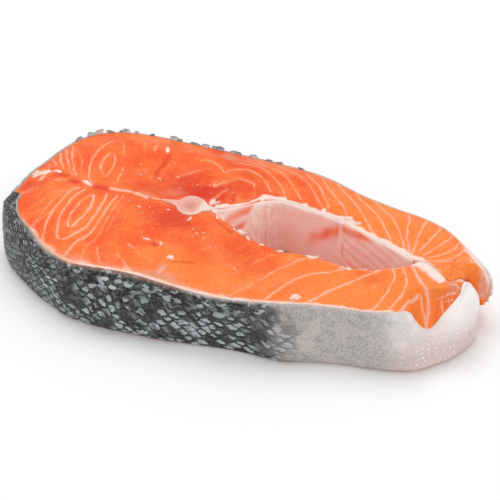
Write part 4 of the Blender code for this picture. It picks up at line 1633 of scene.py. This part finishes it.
    def edge(self, q: float) -> None:
        """Add a row over the upper edge.

        Args:
            q: Its share of the way in, 0 to 1.
        """
        s, over = self.section, self.over
        reach = self.bend * 0.8 * (1.0 - q) + q * np.maximum(SKIN * 0.9 + self.fold, self.bend * 0.8 + 0.2)
        plan = s.outer_side - s.outer_normal * reach[:, None]
        face, _, _ = s.face(plan)
        crest = self.rim + 0.15 * math.sin(math.pi * q)
        crest = crest + 0.12 * ruffle(np.column_stack([plan, self.rim]), 2.4, 6.0)
        lapped = face + 0.85 * (1.0 - q**5) + 0.20 * ruffle(np.column_stack([plan, face]), 2.6, 6.0) + 0.12 * q**5
        z = crest * (1.0 - over) + lapped * over
        z = np.where(over > 0, np.maximum(z, self.rim * (1 - q) + z * q), z)
        left = (1.0 - q) * (SKIN * 0.9 + self.fold)
        plain = (1.0 - over) * (0.5 + 0.45 * fade(np.full(len(plan), q), 0.2, 0.6))
        self.keep(np.column_stack([plan, z]), self.rim - self.low + reach,
                  np.maximum(fade(left, 1.3, 0.6) * over, plain))

    def inside(self, h: float) -> None:
        """Add a row of the side that lies on the flesh.

        Args:
            h: Its height share, 0 to 1.
        """
        s = self.section
        up = h * (self.rim - self.low)
        plan = s.outer_side - s.outer_normal * SKIN + s.outer_foot * wall_out(h, s.outer_power)[:, None]
        z = self.low + min(h, 0.97) * (self.rim - self.low)
        self.keep(np.column_stack([plan, z]), up, np.ones(len(plan)))

    def build(self, finish: SkinFinish) -> bpy.types.Object:
        """Make the skin.

        Args:
            finish: Its finish.

        Returns:
            The piece.
        """
        for h in np.linspace(0.0, 1.0, self.rows):
            self.outside(h)
        for q in np.linspace(0.0, 1.0, self.across + 1)[1:]:
            self.edge(q)
        for h in np.linspace(1.0, 0.0, self.inner_rows):
            self.inside(h)
        fields = {key: np.concatenate(values) for key, values in self.fields.items()}
        piece = shell(self.made, self.cap).piece("steak_skin", fields, finish.material())
        settle(piece, Slot.SKIN, "skin")
        return piece

    def cap(self, total: int, count: int, column: int) -> list:
        """Faces that close one end.

        Args:
            total: Rows of points round the skin.
            count: Points in each row.
            column: The end's column.

        Returns:
            Tuples of indices.
        """
        ratio = (self.rows - 1) // (self.inner_rows - 1)
        faces = []
        for k in range(self.inner_rows - 1):
            outer = [(ratio * k + j) * count + column for j in range(ratio + 1)]
            inner = [(total - 1 - k - j) * count + column for j in (0, 1)]
            faces.append(tuple(outer + inner[::-1]))
        over = [(self.rows - 1 + j) * count + column for j in range(self.across + 2)]
        return [*faces, tuple(over)]


@dataclass
class BellyLining:
    """Membrane on the wall of the cavity.

    Attributes:
        section: The shared outline.
        rows: Rows of points up the wall.
        lip: How far its upper edge laps over the flesh of the far side, in mm.
    """

    section: Section
    rows: int = 33
    lip: float = 0.9

    def __post_init__(self) -> None:
        """Work out what all rows of points share."""
        side = self.section.cavity_side
        x, y = side[:, 0], side[:, 1]
        self.low = LIFT + underside(side)
        self.run = run_of(side)
        self.far, self.open_side = fade(y, -2.0, 4.0), fade(y, -3.0, 2.0)
        self.pleats = self.far * fade(x, 30.0, 34.0) * fade(x, 64.0, 52.0)
        self.made: list[np.ndarray] = []
        self.fields: dict[str, list] = {}

    def keep(self, place: np.ndarray, **fields: np.ndarray) -> None:
        """Take in one row of points with its fields.

        Args:
            place: Rows of x, y, z.
            fields: A value for each, by name.
        """
        self.made.append(place)
        for key, value in fields.items():
            self.fields.setdefault(key, []).append(np.clip(value, 0, 1) * np.ones(len(place)))

    def outside(self, h: float) -> None:
        """Add a row of the side that shows, with its folds, ribs and pleats.

        Args:
            h: Its height share, 0 to 1.
        """
        s, far, pleats = self.section, self.far, self.pleats
        x = s.cavity_side[:, 0]
        z = self.low + h * (s.lining_rim - self.low)
        place = np.column_stack([s.cavity_side + s.cavity_foot * wall_out(h), z])
        px, py = place[:, 0], place[:, 1]  # they follow place as it is pushed
        head = fade(px + 0.2 * (CAVITY_RIM - z), -3.2, -4.4)
        band = np.cos((z - 0.22 * (py - 4.5) - 22.8) * 1.85 + 0.5 * ruffle(place, 5.0, 7.0))
        fold = np.exp(-(((px - 31.6 - 0.6 * math.sin(6.0 * h)) / 0.9) ** 2))
        fold = fold * far * fade(z, 22.0, 20.0) * fade(z, 9.0, 13.0)
        wave = np.sin(z * 1.5 + px * 0.5 + 1.2 * ruffle(place, 9.0, 4.0))
        ribs = ruffle(np.column_stack([self.run, z * 0.13]), 0.62, 9.0) * far
        ribs = ribs * fade(px, 9.0, 1.0) * fade(px, -4.4, -3.4)
        push = 0.35 * ruffle(place, 9.0, 2.0) + 0.16 * ruffle(place, 3.0, 5.0) * (1.0 + pleats)
        push = push + 0.8 * fold + 0.26 * pleats * wave + 0.35 * head * band + 0.14 * ribs
        hold = 0.25 + 0.75 * math.sin(math.pi * min(1.0, h * 1.02))
        place[:, :2] += s.cavity_normal * (push * hold)[:, None]
        rough = 1.05 + 0.5 * ruffle(place, 3.4, 13.0)
        streak = np.exp(-(((z - 11.6 - 0.74 * (px - 20.0)) / 2.9) ** 2)) * rough
        streak = streak * fade(px, 15.0, 21.0) * fade(px, 31.8, 30.2)
        upper = fade(px, 31.4, 33.0) * fade(px, 50.0, 40.0) * fade(z - 0.12 * (px - 32.0), 18.8, 20.8)
        upper = upper * (0.6 + 0.4 * rough)
        line = 0.8 * np.exp(-(((px - 33.0) / 0.5) ** 2)) * fade(z, 16.0, 14.0) * fade(z, 8.0, 10.0)
        lower = 0.35 * fade(px, 22.0, 34.0) * fade(px, 52.0, 42.0) * fade(z, 9.0, 7.0) * (wave < 0.2)
        red = far * (streak + 0.85 * upper + line + lower + 0.25 * pleats * (wave < -0.5))
        # shade is painted shade low in the cavity, on the pleats and in the hollows between ribs; pale is pale
        # membrane at the rim, fold and head, and painted highlight on the ribs and the crests of the pleats
        self.keep(
            place,
            shade=fade(h, 0.75, 0.15) * (0.4 + 0.6 * fade(x, 30, 5)) + 0.25 * pleats
            + 0.8 * np.maximum(0.0, -ribs - 0.1),
            pale=fade(h, 0.90, 0.99) * self.open_side + 0.25 * head * (band > 0.3) + 0.6 * fold
            + 0.35 * fade(x, 48, 60) + np.maximum(0.0, ribs - 0.1) + 0.35 * pleats * (wave > 0.75),
            red=red + head * (0.52 - 0.40 * band) + 0.9 * (1.0 - self.open_side) * (h > 0.96),
        )

    def inside(self, h: float) -> None:
        """Add a row of the side that lies on the flesh.

        Args:
            h: Its height share, 0 to 1.
        """
        s = self.section
        lip = self.open_side * (h > 0.999)
        inset = (s.lining + self.lip * lip[:, None]) * s.cavity_normal
        z = self.low + min(h, 0.99) * (s.lining_rim - self.low) + 0.14 * lip
        self.keep(np.column_stack([s.cavity_side - inset + s.cavity_foot * wall_out(h), z]),
                  shade=0.2, pale=0.8 * self.open_side, red=0.9 * (1.0 - self.open_side))

    def cap(self, total: int, count: int, column: int) -> list:
        """Faces that close one end.

        Args:
            total: Rows of points round the lining.
            count: Points in each row.
            column: The end's column.

        Returns:
            Tuples of indices.
        """
        return [tuple(row * count + column for row in (k, k + 1, total - 2 - k, total - 1 - k))
                for k in range(self.rows - 1)]

    def build(self, finish: LiningFinish) -> bpy.types.Object:
        """Make the lining.

        Args:
            finish: Its finish.

        Returns:
            The piece.
        """
        for h in np.linspace(0.0, 1.0, self.rows):
            self.outside(h)
        for h in np.linspace(1.0, 0.0, self.rows):
            self.inside(h)
        fields = {key: np.concatenate(values) for key, values in self.fields.items()}
        piece = shell(self.made, self.cap).piece("cavity_membrane", fields, finish.material())
        settle(piece, Slot.MEMBRANE, "belly_lining")
        return piece


@dataclass
class Backbone:
    """The cut backbone.

    Attributes:
        section: The shared outline.
        cell: Spacing of points on its cut face in mm.
        proud: How far it stands out of the flesh in mm.
        hub: Its round body.
        wall_rows: Rows of faces down its side.
    """

    section: Section
    cell: float = 0.42
    proud: float = 0.3
    hub: Patch = Patch(-25.6, 3.2, 6.2, 6.2)
    wall_rows: int = 7

    def build(self, finish: BoneFinish) -> bpy.types.Object:
        """Make the backbone.

        Args:
            finish: Its finish.

        Returns:
            The piece.
        """
        loop = self.section.bone_loop
        ring, tree = len(loop), tree_of(loop)
        low, high = loop.min(axis=0), loop.max(axis=0)
        xs, ys = np.meshgrid(np.arange(low[0], high[0], self.cell), np.arange(low[1], high[1], self.cell))
        grid = np.column_stack([xs.ravel(), ys.ravel()])
        grid = grid[within(grid, loop)]
        plan, faces = fill(loop, grid[closest(tree, grid)[1] > 0.55 * self.cell])
        base, _, _ = self.section.face(loop.mean(axis=0)[None, :])
        reach, (_, rim) = self.hub.reach(plan), closest(tree, plan)
        top = base[0] + self.proud + 0.25 * fade(reach, 0.55, 0.9) - 0.35 * fade(reach, 0.6, 0.0)
        top = top + 0.14 * ruffle(plan, 1.6) - 0.25 * fade(rim, 0.5, 0.0)
        pale_rim = fade(rim, 1.3, 0.4) * (0.3 + 0.5 * fade(plan[:, 0], -30.0, -22.0))
        fields = {
            "edge": np.maximum(pale_rim, fade(plan[:, 0], -24.0, -20.6)),
            "core": fade(reach, 0.75, 0.1),
            "wing": fade(plan[:, 0], -31.0, -34.0),
        }
        net = Net()
        net.add(np.column_stack([plan, top]), faces)
        above = np.arange(ring)
        for row in range(1, self.wall_rows):
            first = net.add(np.column_stack([loop, top[:ring] * (1.0 - row / self.wall_rows)]), [])
            below = np.arange(first, first + ring)
            net.wall(above, below)
            above = below
        first = net.add(np.column_stack([plan, np.zeros(len(plan))]), [f[::-1] for f in faces])
        net.wall(above, np.arange(first, first + ring))
        fields = {k: np.concatenate([v, *[v[:ring]] * (self.wall_rows - 1), v]) for k, v in fields.items()}
        piece = net.piece("vertebra", fields, finish.material())
        settle(piece, Slot.BONE, "backbone")
        return piece


@dataclass(frozen=True)
class Lump:
    """An irregular blob lying on the cut face.

    Attributes:
        x: Its middle.
        y: Its middle.
        long: Half its length in mm.
        wide: Half its width in mm.
        high: Half its height in mm.
        turn: Angle of its length from x, in degrees.
        sink: How far its middle lies below the face, in mm.
    """

    x: float
    y: float
    long: float
    wide: float
    high: float = 0.5
    turn: float = 0.0
    sink: float = 0.1


# Fat along the near rim of the cavity.
NEAR_BEADS = (
    Lump(-1.0, -5.6, 2.0, 1.4, 0.9, -40, 0.0), Lump(2.4, -7.9, 1.7, 0.7, 0.6, -50),
    Lump(-4.4, -4.8, 1.3, 0.5, 0.4, -30), Lump(8.6, -10.0, 1.6, 0.8, 0.5, -15),
    Lump(16.4, -11.0, 1.5, 0.7, 0.5, 10), Lump(28.6, -9.6, 2.0, 0.7, 0.5, 5), Lump(30.6, -9.0, 0.9, 0.7, 0.6, 40),
    Lump(37.0, -10.8, 1.9, 0.6, 0.4, -10), Lump(41.2, -11.0, 0.9, 0.5, 0.4, 50),
    Lump(43.6, -11.2, 2.0, 0.6, 0.5, 8), Lump(49.0, -9.6, 1.6, 0.35, 0.35, 20),
)
# Ragged fat along the far rim of the cavity.
FAR_BEADS = (
    Lump(-1.0, 19.6, 1.6, 0.8, 0.4, 70, 0.25), Lump(6.4, 19.4, 1.2, 0.6, 0.4, 70, 0.25),
    Lump(12.4, 19.8, 1.6, 0.7, 0.4, 60, 0.3), Lump(28.0, 17.4, 1.9, 0.6, 0.4, -20, 0.2),
    Lump(31.0, 18.6, 1.7, 0.35, 0.35, 12), Lump(32.6, 17.6, 1.9, 0.35, 0.35, 18),
    Lump(34.6, 16.4, 2.0, 0.45, 0.4, 24), Lump(37.4, 17.0, 1.7, 0.45, 0.5, 26, 0.0),
    Lump(35.4, 14.9, 2.2, 0.4, 0.3, -30),
)
# White blades of bone and sinew round the backbone, and a loose flake on the near flap.
BLADES = (
    Lump(-17.4, 8.4, 1.9, 0.6, 0.6, 48, -0.1), Lump(-15.8, 6.0, 1.9, 0.6, 0.5, 30, 0.0),
    Lump(-22.9, -4.8, 0.6, 1.4, 0.5, -12), Lump(-19.8, 5.6, 1.3, 0.9, 0.5, -60),
    Lump(-17.6, 5.0, 1.7, 0.5, 0.5, -20), Lump(-27.4, 8.0, 0.5, 0.9, 0.5, 20, -0.1),
    Lump(-13.6, 0.2, 1.1, 0.6, 0.4, -60), Lump(-14.4, 4.2, 1.7, 0.6, 0.4, 15), Lump(31.2, -33.4, 1.8, 1.3, 0.4, 40),
    Lump(-92.6, 1.8, 1.5, 0.8, 0.3, 60), Lump(-88.8, 3.4, 1.1, 0.5, 0.25, 20),
    Lump(-26.9, -23.0, 1.3, 0.45, 0.3, -50), Lump(-33.0, -22.4, 1.7, 0.4, 0.25, -5),
)
# Specks of fat and ice on the cut face: x, y and half length in mm.
SPECKS = (
    (90.6, 6.4, 0.5), (91.6, 8.2, 0.5), (89.6, 8.4, 0.6), (92.4, 6.2, 0.6), (90.2, 4.8, 0.5), (88.6, 6.2, 0.6),
    (92.8, 4.6, 0.5), (-78, 0.2, 1.0), (-83.2, 4.0, 1.2), (-80.4, -0.8, 0.8), (-84.6, -1.8, 1.0), (-88, -1.6, 1.2),
    (-69.6, 1.0, 0.8), (-66.4, 26.6, 0.9), (-52.4, 14.6, 0.8), (-51.6, 17.0, 0.7), (-55.2, 20.6, 0.6),
    (-44.6, 15.0, 1.2), (-43.6, 14.2, 0.8), (-41, 25.8, 0.9), (-39.2, 21.8, 0.6), (-38, 18.4, 0.8),
    (-44.8, 24.4, 0.6), (-40.4, -3.4, 0.7), (-44.2, -4.6, 1.1), (-41.6, -8.0, 0.8), (-37.8, -6.2, 0.7),
    (-33, -2.2, 1.1), (-36.4, -19.4, 0.6), (-50.4, -15.4, 0.6), (-46.6, -12.6, 0.6), (-19, -10.4, 1.2),
    (-16.8, -12.2, 1.0), (-14.6, -11.2, 0.8), (-13.2, -14.0, 0.9), (-17.6, -14.4, 0.7), (-7, -17, 0.7),
    (-10.2, -20.4, 0.5), (3.8, -18.8, 0.6), (-24.4, 18.2, 0.6), (-28.8, 16.4, 0.7), (-21.6, 13.4, 0.5),
    (-13.4, 9.8, 0.6), (-34.6, 12.4, 0.8), (-8.4, 28.6, 0.5), (5.6, 25.6, 0.4), (-3.2, 23.0, 0.4),
    (13.2, -24.2, 0.5), (-2.8, -28.8, 0.6), (-70.2, -24.4, 0.4), (-78.2, -8.6, 0.7), (-80.6, -14.6, 0.5),
    (-86.2, -8.8, 0.6), (-71.4, 19.4, 0.4), (-58, 12.4, 0.6), (-49.2, -2.6, 0.5), (-47.2, -19.6, 0.5),
    (-39.6, -12.6, 0.5), (-33.6, -15.6, 0.6), (-26.4, -16.2, 0.5), (-23.8, -20.2, 0.5), (9.6, -15.6, 0.4),
    (20.4, -13.2, 0.5), (28.2, -29.4, 0.4), (50.4, -9.6, 0.4), (70.2, -9.4, 0.4), (82.6, 7.4, 0.5),
)


@dataclass
class Blobs:
    """Irregular blobs gathered into one piece.

    Attributes:
        section: The shared outline.
        name: The piece's name.
        lumps: The blobs.
        subdivisions: Fineness of each.
    """

    section: Section
    name: str
    lumps: tuple
    subdivisions: int = 3

    def build(self, material: bpy.types.Material, slot: Slot) -> bpy.types.Object:
        """Make the piece.

        Args:
            material: Its finish.
            slot: Its material slot.

        Returns:
            The piece.
        """
        bm = bmesh.new()
        bmesh.ops.create_icosphere(bm, subdivisions=self.subdivisions, radius=1.0)
        ball = np.array([v.co[:] for v in bm.verts])
        faces = [tuple(v.index for v in f.verts) for f in bm.faces]
        bm.free()
        net = Net()
        for n, lump in enumerate(self.lumps):
            wave = 1.0 + 0.30 * ruffle(ball, 0.8, 3.1 * n) + 0.10 * ruffle(ball, 0.35, 1.7 * n)
            shape = ball * wave[:, None] * (lump.long, lump.wide, lump.high)
            a = math.radians(lump.turn)
            turned = np.column_stack([
                shape[:, 0] * math.cos(a) - shape[:, 1] * math.sin(a),
                shape[:, 0] * math.sin(a) + shape[:, 1] * math.cos(a),
                shape[:, 2],
            ])
            net.add(turned + self.section.on_face(lump.x, lump.y) - (0.0, 0.0, lump.sink), faces)
        piece = net.piece(self.name, {}, material)
        settle(piece, slot)
        return piece


@dataclass
class LooseScales:
    """Scales that stand up along the edges of the skin.

    Attributes:
        section: The shared outline.
        far_at: x, half length, half width and paleness of the lifted scales along the far side.
        near_x: x of those along the near side.
        rings: Rings of points from the middle of a scale to its edge.
        around: Points in each ring.
        edge: Thickness of a scale in mm.
    """

    section: Section
    far_at: tuple = (
        (-87.6, 1.7, 0.7, 0.5), (-84.4, 1.6, 0.9, 0.8), (-82.0, 2.2, 1.1, 1.0), (-77.4, 1.8, 0.5, 0.3),
        (-73.0, 1.6, 0.6, 0.4), (-71.2, 1.8, 0.9, 0.9), (-67.4, 1.1, 0.5, 0.7), (-61.0, 1.2, 0.4, 0.2),
        (-51.2, 1.9, 1.0, 0.8), (-48.6, 1.0, 0.5, 0.3), (-41.6, 2.2, 0.4, 0.3), (-37.2, 1.8, 0.7, 0.8),
        (-33.0, 1.5, 0.6, 0.4), (-31.0, 1.8, 0.9, 0.35), (-25.4, 1.5, 0.6, 0.7), (-23.4, 1.4, 0.5, 0.4),
        (-16.6, 1.9, 0.7, 0.8), (-9.6, 1.6, 0.35, 0.3), (-5.8, 1.8, 0.35, 0.3), (4.0, 1.4, 0.3, 0.2),
    )
    near_x: tuple = (-50.4, -43.4, -39.4, -36.2, -33.6, -30.0, -26.2, -22.4, -14.0, -9.6, -1.0, 8.4)
    rings: int = 4
    around: int = 18
    edge: float = 0.28

    def near_at(self) -> list:
        """x, half length, half width and paleness of the lifted scales along the near side."""
        lots = [(x, (x * 0.37) % 1.0, (x * 0.61) % 1.0) for x in self.near_x]
        return [(x, 1.3 + 0.7 * a, 0.8 + 0.4 * a, 0.1 + 0.55 * b) for x, a, b in lots]

    def plate(self, net: Net, tones: list, middle: np.ndarray, along: np.ndarray, rise: np.ndarray,
              long: float, wide: float, tone: float, thick: float) -> None:
        """Add one thin domed plate.

        Args:
            net: Takes the plate.
            tones: Takes the tone of each of its points.
            middle: Its middle in mm.
            along: Unit vector along its length.
            rise: Unit vector along its width.
            long: Half its length in mm.
            wide: Half its width in mm.
            tone: How pale it is.
            thick: Height of its dome in mm.
        """
        out = np.cross(along, rise)
        rings, around = self.rings, self.around
        points = [middle + out * thick]
        for r in range(1, rings + 1):
            share = r / rings
            for k in range(around):
                t = 2 * math.pi * k / around
                bend = 1.0 + 0.08 * math.sin(3 * t + middle[0]) + 0.06 * math.sin(5 * t + 2 * middle[0])
                points.append(middle + along * long * share * math.cos(t) * bend
                              + rise * wide * share * math.sin(t) * bend + out * thick * (1 - share**2.2))
        top = len(points)
        points += [p - out * self.edge for p in points[:top]]
        faces = []
        for base, flip in ((0, False), (top, True)):
            made = [(base, base + 1 + k, base + 1 + (k + 1) % around) for k in range(around)]
            for r in range(rings - 1):
                a, b = base + 1 + r * around, base + 1 + (r + 1) * around
                made += [(a + k, b + k, b + (k + 1) % around, a + (k + 1) % around) for k in range(around)]
            faces += [f[::-1] for f in made] if flip else made
        rim = 1 + (rings - 1) * around
        for k in range(around):
            after = (k + 1) % around
            faces.append((rim + k, top + rim + k, top + rim + after, rim + after))
        net.add(np.array(points), faces)
        tones += [tone] * len(points)

    def stance(self, i: int, far: bool, wide: float, lot: float) -> tuple[np.ndarray, np.ndarray, np.ndarray]:
        """Where one scale stands and how it leans.

        Args:
            i: Index of the rim point it stands at.
            far: Whether that is on the far side.
            wide: Half its width in mm.
            lot: Its own number from 0 to 1, which varies it.

        Returns:
            Its middle and the unit vectors along its length and its width.
        """
        s = self.section
        out = np.array((*s.outer_normal[i], 0.0))
        along = np.array((-out[1], out[0], 0.0))
        lean = 0.50 + 0.5 * lot if far else 0.10 + 0.35 * lot
        rise = np.array((0.0, 0.0, 1.0)) * math.cos(lean) - out * math.sin(lean) * (-1.0 if far else 0.6)
        tilt = (lot - 0.5) * 0.5
        length = along * math.cos(tilt) + rise * math.sin(tilt)
        width = rise * math.cos(tilt) - along * math.sin(tilt)
        down = 0.25 - 0.65 * wide if far else 1.6 + 4.6 * ((lot * 7.3) % 1.0)
        foot = s.outer_foot[i] * wall_out(1.0 - down / CROWN)
        middle = np.array((*(s.outer_side[i] + foot), s.outer_rim[i] - down)) + out * (-0.5 if far else 0.2)
        if np.dot(np.cross(length, width), out) < 0:
            length = -length
        return middle, length, width

    def build(self, finish: PlateFinish) -> bpy.types.Object:
        """Make the scales.

        Args:
            finish: Their finish.

        Returns:
            The piece.
        """
        side = self.section.outer_side
        net, tones = Net(), []
        back = int(np.argmin(side[:, 0]))
        for far, places in ((True, self.far_at), (False, self.near_at())):
            ids = np.arange(back, len(side)) if far else np.arange(back)
            ids = ids[np.abs(side[ids, 1]) > (8.0 if far else 20.0)]
            for n, (x, long, wide, tone) in enumerate(places):
                i = ids[int(np.argmin(np.abs(side[ids, 0] - x)))]
                lot = (math.sin(n * 12.9 + far * 4.0) * 43758.5) % 1.0
                middle, along, rise = self.stance(i, far, wide, lot)
                self.plate(net, tones, middle, along, rise, long, wide, tone, 0.8 * wide if far else 0.42)
        piece = net.piece("loose_scales", {"tone": np.array(tones)}, finish.material())
        settle(piece, Slot.SKIN)
        return piece


@dataclass
class Studio:
    """Floor, lights and camera.

    Attributes:
        target: What the camera looks at, in metres.
        azimuth: Its direction in degrees.
        elevation: Its height above the horizon in degrees.
        distance: Its distance in metres.
        lens: Its focal length in mm.
        sensor: Width of its sensor in mm.
        floor_half: Half the side of the floor in metres.
        floor_drop: How far the floor lies below the slice in metres.
        sky: Strength of the light from all round.
    """

    target: tuple = (0.001064, 0.003092, 0.012)
    azimuth: float = 22.0
    elevation: float = 38.0
    distance: float = 0.750
    lens: float = 140.26
    sensor: float = 36.0
    floor_half: float = 3.0
    floor_drop: float = 0.0004
    sky: float = 0.80

    def camera(self) -> bpy.types.Object:
        """Make the camera and set it as the scene's.

        Returns:
            The camera.
        """
        a, e = math.radians(self.azimuth), math.radians(self.elevation)
        back = Vector((math.sin(a) * math.cos(e), -math.cos(a) * math.cos(e), math.sin(e)))
        data = bpy.data.cameras.new("camera")
        data.lens, data.sensor_width, data.sensor_fit = self.lens, self.sensor, "HORIZONTAL"
        data.clip_start, data.clip_end = 0.05, 20.0
        made = bpy.data.objects.new("camera", data)
        made.location = Vector(self.target) + back * self.distance
        made.rotation_mode = "QUATERNION"
        made.rotation_quaternion = (-back).to_track_quat("-Z", "Y")
        bpy.context.scene.collection.objects.link(made)
        bpy.context.scene.camera = made
        return made

    def lamp(self, name: str, place: tuple, size: float, power: float) -> bpy.types.Object:
        """Add a soft square light that faces the slice.

        Args:
            name: Its name.
            place: Where it is, in metres.
            size: Length of its side in metres.
            power: Its power in watts.

        Returns:
            The light.
        """
        data = bpy.data.lights.new(name, "AREA")
        data.shape, data.size, data.energy = "SQUARE", size, power
        made = bpy.data.objects.new(name, data)
        made.location = place
        made.rotation_mode = "QUATERNION"
        made.rotation_quaternion = (Vector(place) - Vector(self.target)).to_track_quat("Z", "Y")
        bpy.context.scene.collection.objects.link(made)
        return made

    def build(self) -> None:
        """Make the floor, the sky, the lights and the camera."""
        mesh = bpy.data.meshes.new("floor")
        turns = ((-1, -1), (1, -1), (1, 1), (-1, 1))
        mesh.from_pydata([(self.floor_half * x, self.floor_half * y, -self.floor_drop) for x, y in turns], [],
                         [(0, 1, 2, 3)])
        mesh.materials.append(FloorFinish().material())
        floor = bpy.data.objects.new("floor", mesh)
        bpy.context.scene.collection.objects.link(floor)
        world = bpy.data.worlds.new("sky")
        world.use_nodes = True
        sky = world.node_tree.nodes["Background"]
        sky.inputs["Color"].default_value = (1.0, 1.0, 1.0, 1.0)
        sky.inputs["Strength"].default_value = self.sky
        bpy.context.scene.world = world
        bpy.context.scene.view_settings.view_transform = "Standard"
        self.lamp("soft_box_above", (-0.25, 0.35, 0.9), 0.6, 2.6)
        self.lamp("soft_box_front", (0.35, -0.8, 0.55), 0.6, 0.9)
        self.camera()


def specks() -> tuple:
    """Blobs at the places of the specks, of varied width and turn."""
    return tuple(
        Lump(x, y, 0.72 * half, half * (0.26 + 0.26 * ((n * 0.618) % 1.0)), 0.24, (n * 67) % 180, 0.06)
        for n, (x, y, half) in enumerate(SPECKS)
    )


def tell(piece: bpy.types.Object) -> None:
    """Report a piece through the log."""
    log.info("%s: %d points, %d faces", piece.name, len(piece.data.vertices), len(piece.data.polygons))


def main() -> None:
    """Build every piece in order."""
    logging.basicConfig(level=logging.INFO, format="%(name)s %(message)s")
    section = Section()
    marbling = Marbling(section)
    tell(Flesh(section).build(marbling, FleshFinish()))
    tell(Skin(section).build(SkinFinish()))
    tell(BellyLining(section).build(LiningFinish()))
    tell(Backbone(section).build(BoneFinish()))
    tell(Blobs(section, "cavity_fat", NEAR_BEADS + FAR_BEADS).build(FAT.material(), Slot.FLESH))
    tell(Blobs(section, "sinew_blades", BLADES).build(SINEW.material(), Slot.FLESH))
    tell(Blobs(section, "fat_specks", specks(), 2).build(SPECK.material(), Slot.FLESH))
    tell(LooseScales(section).build(PlateFinish()))
    Studio().build()


if __name__ == "__main__":
    main()
